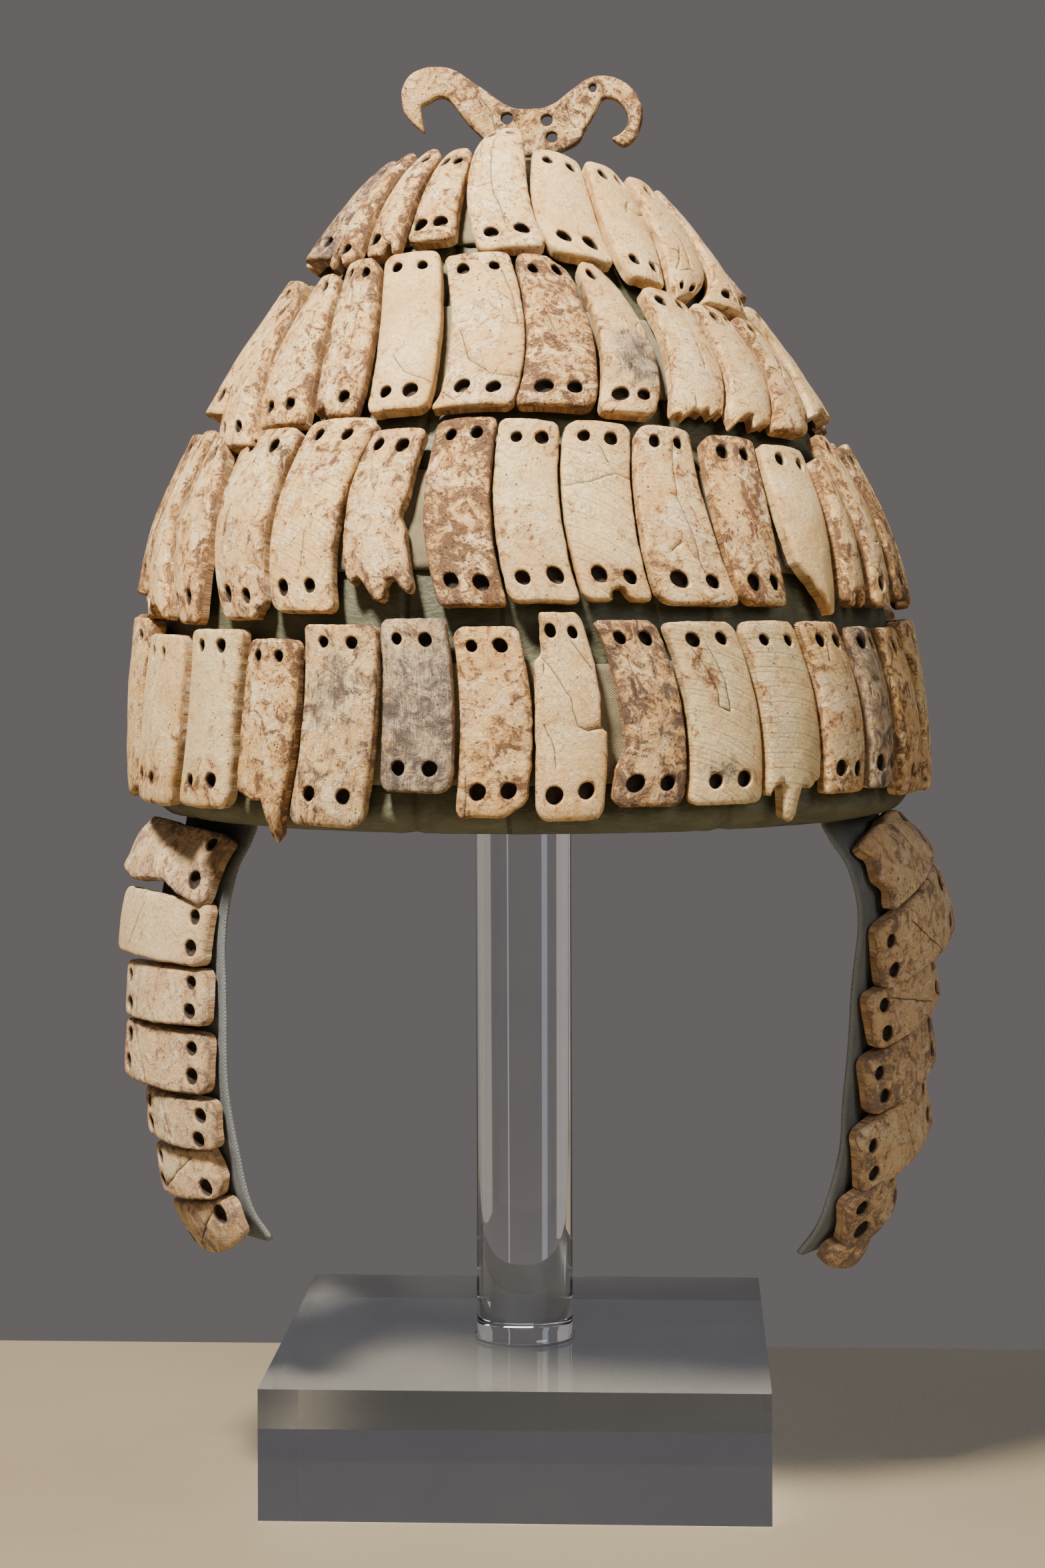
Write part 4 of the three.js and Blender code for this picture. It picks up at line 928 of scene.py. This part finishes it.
        plate(7, (12.2, 14.5, 11.9), (22.6, 23.6, 20.5), 0.01, -0.06, (0.8, 0.3, 0, 0.1), 0.8, relief=0.35,
              left_side=[(0, 0), (0.2, 0.2), (0.3, 2), (0.5, 1.2), (1, 0)]),
        plate(8, (23.1, 24.2, 21.2), (34.4, 35, 32.2), 0, -0.06, (0.12, 0.06, 0.6, 0.9), 0.12,
              stains=[(-0.35, 0.68, 3.5, 9, 0, 0.8), (-0.3, 0.18, 6, 4, 1, 0.6)],
              cracks=[[(-0.55, 0.86), (-0.2, 0.62), (-0.25, 0.52), (0.05, 0.5), (0.1, 0.66), (-0.1, 0.85)]]),
        plate(9, (34.9, 35.5, 32.8), (44.5, 45.5, 42.4), 0, -0.07, (0.12, 0.1, 0.7, 1.0), 0.2, holes="top",
              foot=[(-1, 2), (-0.9, 0), (-0.8, 3), (-0.55, 4.5), (-0.5, 0), (-0.38, -4), (-0.15, -4.6),
                    (0, -2.5), (0.08, 2), (0.3, 4), (0.5, 2.5), (0.7, 4), (1, 3)]),
        plate(10, (44.9, 46, 42.9), (53.8, 55.4, 51.3), -0.01, -0.08, (0.45, 0.05, 0.15, 0.7), 0.5),
        plate(None, (54.3, 55.9, 51.8), (62.4, 64, 60), -0.04, -0.09, (0.45, 0.8, 0, 0), 0.6),
        plate(None, (62.9, 64.6, 60.7), (76, 78, 68.5), -0.05, -0.04, (0.65, 0, 0, 0), 0.5),
    ],
}


def bend(edge, t):
    """The bearing of an edge given at the foot, the middle and the top, at t of the way up."""
    foot, middle, top = edge
    return foot * (1 - t) * (1 - 2 * t) + middle * 4 * t * (1 - t) + top * t * (2 * t - 1)


def row_share(row, t, bearing):
    sunk = np.clip(np.sin(bearing * RADIANS), 0, 1) ** 2 * (row["foot_dip"] * (1 - t) + row["top_dip"] * t)
    return row["foot"] + (t - sunk) * (row["top"] - row["foot"])


def add_plate(name, row, data, nodes, seed):
    """One plate of a row, laid on the cap between its two edges."""
    rng = np.random.default_rng(seed)
    low, high = -data["drop"], 1 + data["rise"]
    span = (row["top"] - row["foot"]) * CAP.length
    height = (high - low) * span
    middle = (bend(data["left"], 0.5) + bend(data["right"], 0.5)) / 2
    radius = CAP.at(row_share(row, 0.5, middle), 5.0)[..., 0]
    wide = (bend(data["right"], 0.5) - bend(data["left"], 0.5)) * RADIANS * radius
    half = wide / 2 + 0.15
    side = 1.0 if middle < 0 else -1.0
    lift = data.get("lift", 0.0)

    def place(x, y, h):
        t = low + (high - low) * y / height
        left, right = bend(data["left"], t), bend(data["right"], t)
        here = CAP.at(row_share(row, t, middle), 5.0)[..., 0]
        reach = (right - left) / 2 + 0.15 / here / RADIANS
        bearing = (left + right) / 2 + x / half * reach
        raised = ROLL * np.clip(0.5 + 0.5 * side * x / half, -0.1, 1.1) + lift
        return cap_point(row_share(row, t, bearing), bearing, PLATE_BASE + raised + h)

    ends = {"both": (1, 1), "top": (0, 1), "foot": (1, 0), "one": (1, 1)}[data["holes"]]
    holes = []
    pitch = min(0.42, 5.0 / half)
    for at_top, wanted in zip((False, True), ends):
        if not wanted:
            continue
        spots = (-pitch,) if at_top and data["holes"] == "one" else (-pitch, pitch)
        for u in spots:
            y = height - 5.6 if at_top else 6.6
            x = (u + rng.uniform(-0.05, 0.05)) * half
            smaller = 0.88 if at_top else 1
            holes.append((x, y + rng.uniform(-0.6, 0.6), DRILL_RADIUS * rng.uniform(0.86, 1.08) * smaller))
    corner = rng.uniform(1.8, 4.2, 4)
    loop = plate_outline(half, height, corner, foot=data.get("foot", ()), top=data.get("top_side", ()),
                         left=data.get("left_side", ()), right=data.get("right_side", ()), seed=seed, rough=0.28)
    holes = [h for h in holes if within(np.array([[h[0], h[1]]]), loop)[0]
             and near_lines(np.array([[h[0], h[1]]]), [(loop, True)])[0] > h[2] + 0.9]
    cracks = [[(u * half, v * height) for u, v in crack] for crack in data.get("cracks", ())]
    for _ in range(rng.integers(0, 3)):
        u, v = rng.uniform(-0.8, 0.8), rng.uniform(0.15, 0.85)
        du, dv = rng.uniform(-0.35, 0.35), rng.uniform(-0.22, 0.22)
        bends = [(u, v), (u + du / 2, v + dv * 0.6), (u + du, v + dv)]
        cracks.append([(across * half, up * height) for across, up in bends])
    stains = [(u * half, v * height, a, b, k, amount) for u, v, a, b, k, amount in data.get("stains", ())]
    obj = tusk_mesh(name, loop, place, PLATE_THICK, TUSK, holes=holes, cracks=cracks, tone=data["tone"], stains=stains,
                    pit=data["pit"], relief=data.get("relief", 0.24), seed=seed,
                    crown=lambda x, y: PLATE_BULGE * (1 - np.clip(x / half, -1, 1) ** 2))
    return settle(obj, "tusk", *nodes)


def worn_plate(rng, left, right):
    """A plate for the rest of a row, with its own wear."""
    brown = rng.choice([0.1, 0.3, 0.5, 0.75, 0.9])
    grey = rng.choice([0, 0, 0, 0.15, 0.6])
    ring = rng.choice([0, 0.1, 0.3, 0.8])
    green = rng.choice([0, 0.1, 0.4])
    broken = rng.random() < 0.3
    foot = [(-1, 0)] + [(u, rng.uniform(-0.5, 4.5)) for u in (-0.6, -0.3, 0, 0.3, 0.6)] + [(1, rng.uniform(0, 3))]
    return plate(None, left, right, rng.uniform(-0.06, 0.04), rng.uniform(-0.06, 0.04), (brown, grey, green, ring),
                 0.2 + brown * 0.8, holes="top" if broken else "both", foot=foot if broken else ())


for number, row in enumerate(ROWS, 1):
    band_node = f"row_{number}_backing_band"
    shown = FRONT[row["name"]]
    rng = np.random.default_rng(100 + number)
    start, stop = shown[-1]["right"][1], shown[0]["left"][1] + 360
    rest = row["count"] - len(shown)
    marks = start + (stop - start) * (np.arange(rest + 1) / rest)
    marks[1:-1] += rng.uniform(-0.9, 0.9, rest - 1)
    swing = rng.uniform(-1.2, 1.2, (rest + 1, 2))
    lines = [shown[-1]["right"]] + [(m + s[0], m, m + s[1]) for m, s in zip(marks[1:-1], swing)]
    lines += [tuple(b + 360 for b in shown[0]["left"])]
    behind = [worn_plate(rng, a, b) for a, b in zip(lines, lines[1:])]
    for k, data in enumerate(shown + behind):
        nodes = [f"row_{number}_plate_{data['node']}"] if data["node"] else [band_node]
        add_plate(f"tusk_row_{number}_{k + 1:02d}", row, data, nodes, number * 100 + k)

    bearings = np.arange(400) * 360 / 400
    ts = np.linspace(row["band"][0], row["band"][1], 16)
    t, bearing = np.meshgrid(ts, bearings, indexing="ij")
    ragged = 0.02 * fractal(bearing, bearing * 0, 14, number, 3)
    t = t + ragged * np.where(t < 0.5, 1, -1)
    share = row_share(row, t, bearing)
    ripple = 0.3 * fractal(bearing * 2, t * 50, 14, 20 + number, 3)
    edge = 0.35 * (np.minimum(np.arange(16), np.arange(16)[::-1]) < 1)[:, None]
    outer = cap_point(share, bearing, 2.1 + ripple - edge)
    inner = cap_point(share, bearing, 0.75 + ripple * 0.4)
    lay = np.stack([bearing * RADIANS * 100, share * CAP.length, 0 * share], -1)
    settle(sheet_mesh(f"backing_strip_{number}", outer, inner, BACKING, lay, None, loop=True), "backing", band_node)


# ---- The cheek straps and the plates laid across them.
STRAP_WIDTH, STRAP_TIP_WIDTH, STRAP_THICK = 38.0, 30.0, 2.2
STRAP_TUCK, STRAP_CURL, STRAP_LIP = 22.0, 30.0, 2.0
CHEEK_THICK, CHEEK_BULGE, CHEEK_START = 3.8, 4.0, 7.0


def cheek(share, long, turn=0, shift=0, tone=(0.5, 0, 0, 0), pit=0.5, **more):
    return dict(share=share, long=long, turn=turn, shift=shift, tone=tone, pit=pit, **more)


STRAPS = [
    dict(name="left", bearing=-64, facing=-48, drop=125, path=[
        (0, 0), (0.06, -0.07), (0.13, -0.23), (0.24, -0.34), (0.38, -0.37), (0.52, -0.37),
        (0.65, -0.36), (0.78, -0.28), (0.92, -0.15), (1, 0.05),
    ], plates=[
        cheek(1.1, 48, -5, 0, (0.7, 0, 0, 0), 0.7, foot=[(-1, 2), (-0.5, 0), (0.2, 2.5), (0.5, 0), (1, -2)],
              left_side=[(0, 0), (0.3, 3), (0.6, 0), (1, 2)], bare_left=True),
        cheek(1.08, 46, -2, 0, (0.12, 0, 0.1, 0.1), 0.15, bare_left=True),
        cheek(1, 43, 1, 0.5, (0.35, 0, 0, 0), 0.45),
        cheek(1.04, 44, -1, 0, (0.65, 0, 0, 0), 0.6),
        cheek(0.86, 36, -2, 1, (0.55, 0.2, 0, 0), 0.5),
        cheek(0.86, 34, 3, -0.5, (0.45, 0, 0, 0), 0.5, right_side=[(0, 2), (0.4, 0), (1, 3)]),
        cheek(0.78, 34, 7, 1, (0.6, 0, 0, 0), 0.5, foot=[(-1, 0), (0.3, 0), (1, 2)]),
    ]),
    dict(name="right", bearing=72, facing=60, drop=131, path=[
        (0, 0), (0.06, -0.09), (0.13, -0.27), (0.24, -0.34), (0.38, -0.24), (0.52, -0.17),
        (0.65, -0.09), (0.78, -0.01), (0.92, 0.2), (1, 0.45),
    ], plates=[
        cheek(1.05, 40, 20, 1, (0.55, 0, 0, 0), 0.7, left_side=[(0, 0), (0.3, 3.5), (0.5, 0.5), (0.75, 3), (1, 0)],
              bare_left=True),
        cheek(1.15, 47, 19, 1, (0.6, 0.1, 0, 0), 0.9),
        cheek(1, 43, 17, 0, (0.5, 0, 0, 0), 0.6),
        cheek(1.05, 43, 18, 0.5, (0.75, 0, 0, 0), 0.5),
        cheek(1.15, 44, 22, 0, (0.45, 0.1, 0, 0), 0.95),
        cheek(0.95, 27, 30, 1, (0.75, 0, 0, 0), 0.6),
        cheek(0.55, 22, 18, -1, (0.9, 0, 0, 0), 0.6),
    ]),
]


def add_strap(data):
    name, bearing, facing = data["name"], data["bearing"], data["facing"]
    wall = CAP.at(0.0, -3.4)[0] * 0.995 - 0.35
    turn, half = abs(facing - bearing) * RADIANS, STRAP_WIDTH / 2
    radius = math.sqrt(wall**2 - (half * math.cos(turn)) ** 2) - half * math.sin(turn) - STRAP_THICK
    hanging = [(radius - curl * STRAP_CURL, RIM_HEIGHT - down * data["drop"]) for down, curl in data["path"]]
    path = Profile(hanging[::-1] + [(radius, RIM_HEIGHT + STRAP_TUCK)])
    out = np.array([math.sin(facing * RADIANS), -math.cos(facing * RADIANS)])
    side = np.array([math.cos(facing * RADIANS), math.sin(facing * RADIANS)])
    axis = np.array([math.sin(bearing * RADIANS), -math.cos(bearing * RADIANS)])

    def place(share, offset, along):
        share, offset, along = np.broadcast_arrays(share, offset, along)
        here = path.at(share)
        normal = path.at(share, np.ones_like(share)) - here
        flat = axis * here[..., :1] + out * (normal[..., :1] * offset[..., None]) + side * along[..., None]
        return slump(np.concatenate([flat, (here[..., 1] + normal[..., 1] * offset)[..., None]], -1))

    shares, across = np.linspace(0, 1, 90), np.linspace(-1, 1, 26)
    share, along = np.meshgrid(shares, across, indexing="ij")
    ragged = 0.6 * fractal(share * path.length, along * 0 + np.sign(along) * 3, 16, 60, 3)
    width = STRAP_TIP_WIDTH + (STRAP_WIDTH - STRAP_TIP_WIDTH) * share
    spread_out = along * width / 2 + ragged * np.abs(along) ** 6 * np.sign(along)
    curl = 0.7 * fractal(share * path.length, along * 14, 22, 61, 3)
    pinch = 0.7 * np.clip(np.abs(along) - 0.92, 0, 1) / 0.08
    outer = place(share, STRAP_THICK + curl * 0.35 - pinch, spread_out)
    inner = place(share, curl * 0.35 + pinch, spread_out)
    lay = np.stack([along * half + 50, share * path.length, 0 * share], -1)
    mark = np.clip((np.abs(along) - 0.97) / 0.02, 0, 1)
    settle(sheet_mesh(f"strap_{name}", outer, inner, FELT, lay, mark), "strap_felt", f"cheek_strap_{name}")

    plated = path.length - STRAP_TUCK - CHEEK_START
    total = sum(p["share"] for p in data["plates"])
    down = STRAP_TUCK + CHEEK_START
    for k, p in enumerate(data["plates"]):
        tall = plated * p["share"] / total
        centre = down + tall / 2 - 0.5
        down += tall
        height, half_long = tall - 1.3, p["long"] / 2
        width = STRAP_TIP_WIDTH + (STRAP_WIDTH - STRAP_TIP_WIDTH) * (1 - centre / path.length)
        overhang = math.copysign((p["long"] - width) / 2 + STRAP_LIP, bearing) + p["shift"]
        lean_in = p["turn"] * RADIANS
        seed = 700 + k + (30 if bearing > 0 else 0)

        def lay_plate(x, y, h, centre=centre, height=height, lean_in=lean_in, half_long=half_long, overhang=overhang):
            v = y - height / 2
            a, b = x * math.cos(lean_in) - v * math.sin(lean_in), x * math.sin(lean_in) + v * math.cos(lean_in)
            share = 1 - (centre - b) / path.length
            tilt = 1.8 * (0.5 - v / height)
            return place(np.clip(share, 0.0, 1), STRAP_THICK + 0.7 + tilt + h, a + overhang)

        loop = plate_outline(half_long, height, 3.2, foot=p.get("foot", ()), top=p.get("top_side", ()),
                             left=p.get("left_side", ()), right=p.get("right_side", ()), seed=seed, rough=0.3)
        rng = np.random.default_rng(seed)
        holes = []
        for u in (-1, 1):
            if u < 0 and p.get("bare_left"):
                continue
            for v in (0.26, 0.72):
                holes.append((u * (half_long - 5.2 + rng.uniform(-0.7, 0.7)), v * height + rng.uniform(-0.6, 0.6),
                              DRILL_RADIUS * rng.uniform(0.85, 1.1)))
        holes = [h for h in holes if near_lines(np.array([[h[0], h[1]]]), [(loop, True)])[0] > h[2] + 0.8]
        u, v = rng.uniform(-0.6, 0.6, 2)
        middle = (u + v) * 0.5 * half_long
        crack = [(u * half_long, height * 0.2), (middle, height * 0.5), (v * half_long, height * 0.8)]
        obj = tusk_mesh(f"tusk_cheek_{name}_{k + 1}", loop, lay_plate, CHEEK_THICK, TUSK_PALE, holes=holes,
                        cracks=[crack], tone=p["tone"], pit=p["pit"], relief=0.3, seed=seed,
                        crown=lambda x, y, w=half_long: CHEEK_BULGE * (1 - np.clip(x / w, -1, 1) ** 2))
        settle(obj, "tusk", f"cheek_plate_{name}_{k + 1}")


for strap in STRAPS:
    add_strap(strap)


# ---- The crest: two horns, traced as (across, up) in millimetres from the middle of its foot.
CREST_THICK = 5.6
CREST_FOOT_Z = 406.35
CREST_LINE = [
    (-6.5, 0.4), (-12.8, 6.8), (-16.5, 10.6), (-22.4, 17.9), (-26, 18.8), (-29, 17.1), (-31, 15.9), (-30.8, 12.3),
    (-30.3, 8.2), (-33.6, 10.6), (-36.4, 14.2), (-37.2, 17.2), (-37.2, 21.9), (-34.2, 26.6), (-27.8, 28.7),
    (-21.3, 27.8), (-16.6, 24.9), (-10.7, 20.8), (-3.7, 16.1), (2.2, 15.2), (9.3, 16.4), (16.3, 21.4), (20.4, 24.3),
    (25.1, 25.5), (30.4, 24.3), (35.1, 20.8), (37.8, 15.5), (37.5, 9.6), (35.7, 5.5), (32.2, 3.1), (29, 4.9),
    (28.7, 6.1), (31, 7.2), (33.1, 9.6), (33.4, 12.5), (31.6, 16.1), (28.1, 18.1), (25.2, 17.3), (22.8, 13.1),
    (19.9, 7.8), (16.9, 3.7), (6.5, 0.4),
]
CREST_HOLES = [(-4.3, 12.2, 1.9), (8.1, 11.5, 1.9), (9.7, 6.2, 1.75), (22.5, 21.4, 1.3)]


def add_crest():
    line = smooth_line(CREST_LINE + CREST_LINE[:1], 7)[:-1]
    area = (line[:, 0] * np.roll(line[:, 1], -1) - np.roll(line[:, 0], -1) * line[:, 1]).sum()
    line = line if area > 0 else line[::-1]
    x, y = line.T
    line = line + 0.12 * np.stack([fractal(x, y, 3, 91, 3), fractal(y, x, 3, 92, 3)], -1)

    def place(x, y, h):
        return np.stack([x, CREST_THICK / 2 - h, CREST_FOOT_Z + y], -1)

    obj = tusk_mesh("crest_horns", line, place, CREST_THICK, TUSK, holes=CREST_HOLES, tone=(0.72, 0, 0, 0.05), pit=0.7,
                    relief=0.22, edge=1.5, seed=905, grid=1.2, twin=True,
                    stains=[(-34, 22, 7, 9, 0, -0.5), (-34, 12, 5, 5, 0, -0.8), (30, 20, 7, 5, 0, -0.3)],
                    cracks=[[(-12, 18), (-9, 14), (-8, 9)], [(14, 16), (15, 12), (17, 9)]])
    settle(obj, "tusk", "crest")


add_crest()


# ---- The clear stand.
def turned(name, section, count, slumped=False):
    """A solid turned about the axis from a closed half section of (r, z), from the axis to the axis."""
    angle = np.arange(count) / count * 2 * math.pi
    section = np.asarray(section, float)
    ring = section[1:-1]
    points = [[0, 0, section[0][1]], [0, 0, section[-1][1]]]
    grid = np.stack([ring[:, None, 0] * np.cos(angle), ring[:, None, 0] * np.sin(angle),
                     np.repeat(ring[:, None, 1], count, 1)], -1)
    points = np.vstack([points, grid.reshape(-1, 3)])
    faces = []
    for j in range(count):
        k = (j + 1) % count
        faces.append((0, 2 + k, 2 + j))
        base = 2 + (len(ring) - 1) * count
        faces.append((1, base + j, base + k))
        for i in range(len(ring) - 1):
            a = 2 + i * count
            faces.append((a + j, a + k, a + count + k, a + count + j))
    if slumped:
        points = slump(points)
    mesh = bpy.data.meshes.new(name)
    mesh.from_pydata((points * MM).tolist(), [], faces)
    mesh.update()
    mesh.shade_smooth()
    mesh.set_sharp_from_angle(angle=35 * RADIANS)
    mesh.materials.append(ACRYLIC)
    obj = bpy.data.objects.new(name, mesh)
    obj.visible_shadow = False  # clear acrylic lets the lamps through
    bpy.context.scene.collection.objects.link(obj)
    return obj


BASE_HALF, BASE_HEIGHT, BASE_SETBACK, BASE_BEVEL = 75.0, 38.5, 6.5, 0.8
ROD_RADIUS = 15.0
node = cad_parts["stand_block"]
bevel = node.modifiers.new("polished_edges", "BEVEL")
bevel.width, bevel.segments, bevel.limit_method = BASE_BEVEL * MM, 3, "ANGLE"
node.data.materials.clear()
node.data.materials.append(BLOCK)

node.visible_shadow = False

rod_low, rod_high = (p.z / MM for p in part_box("stand_rod"))
rod = turned("acrylic_rod", [(0, rod_low), (14.2, rod_low), (15.5, rod_low + 0.1), (15.6, rod_low + 0.5),
                             (15.15, rod_low + 1.2), (ROD_RADIUS, rod_low + 2.2), (ROD_RADIUS, rod_high - 0.4),
                             (ROD_RADIUS - 0.4, rod_high), (0, rod_high)], 128)
settle(rod, "acrylic", "stand_rod")
ROD_ONLY.objects.link(rod)
inside = [CAP.at(share, -3.6) for share in np.linspace(0.995, 0.8, 14)]
dome = [(r, z - 0.4) for r, z in inside if r < 46]
edge_r, edge_z = dome[-1]
foot_z = min(edge_z - 0.4, 390.6)
cradle = turned("acrylic_cradle", [(0, foot_z), (edge_r - 0.5, foot_z), (edge_r, foot_z + 0.35)] + dome[::-1] +
                [(0, dome[0][1] + 0.1)], 96, slumped=True)
settle(cradle, "acrylic", "stand_cradle")
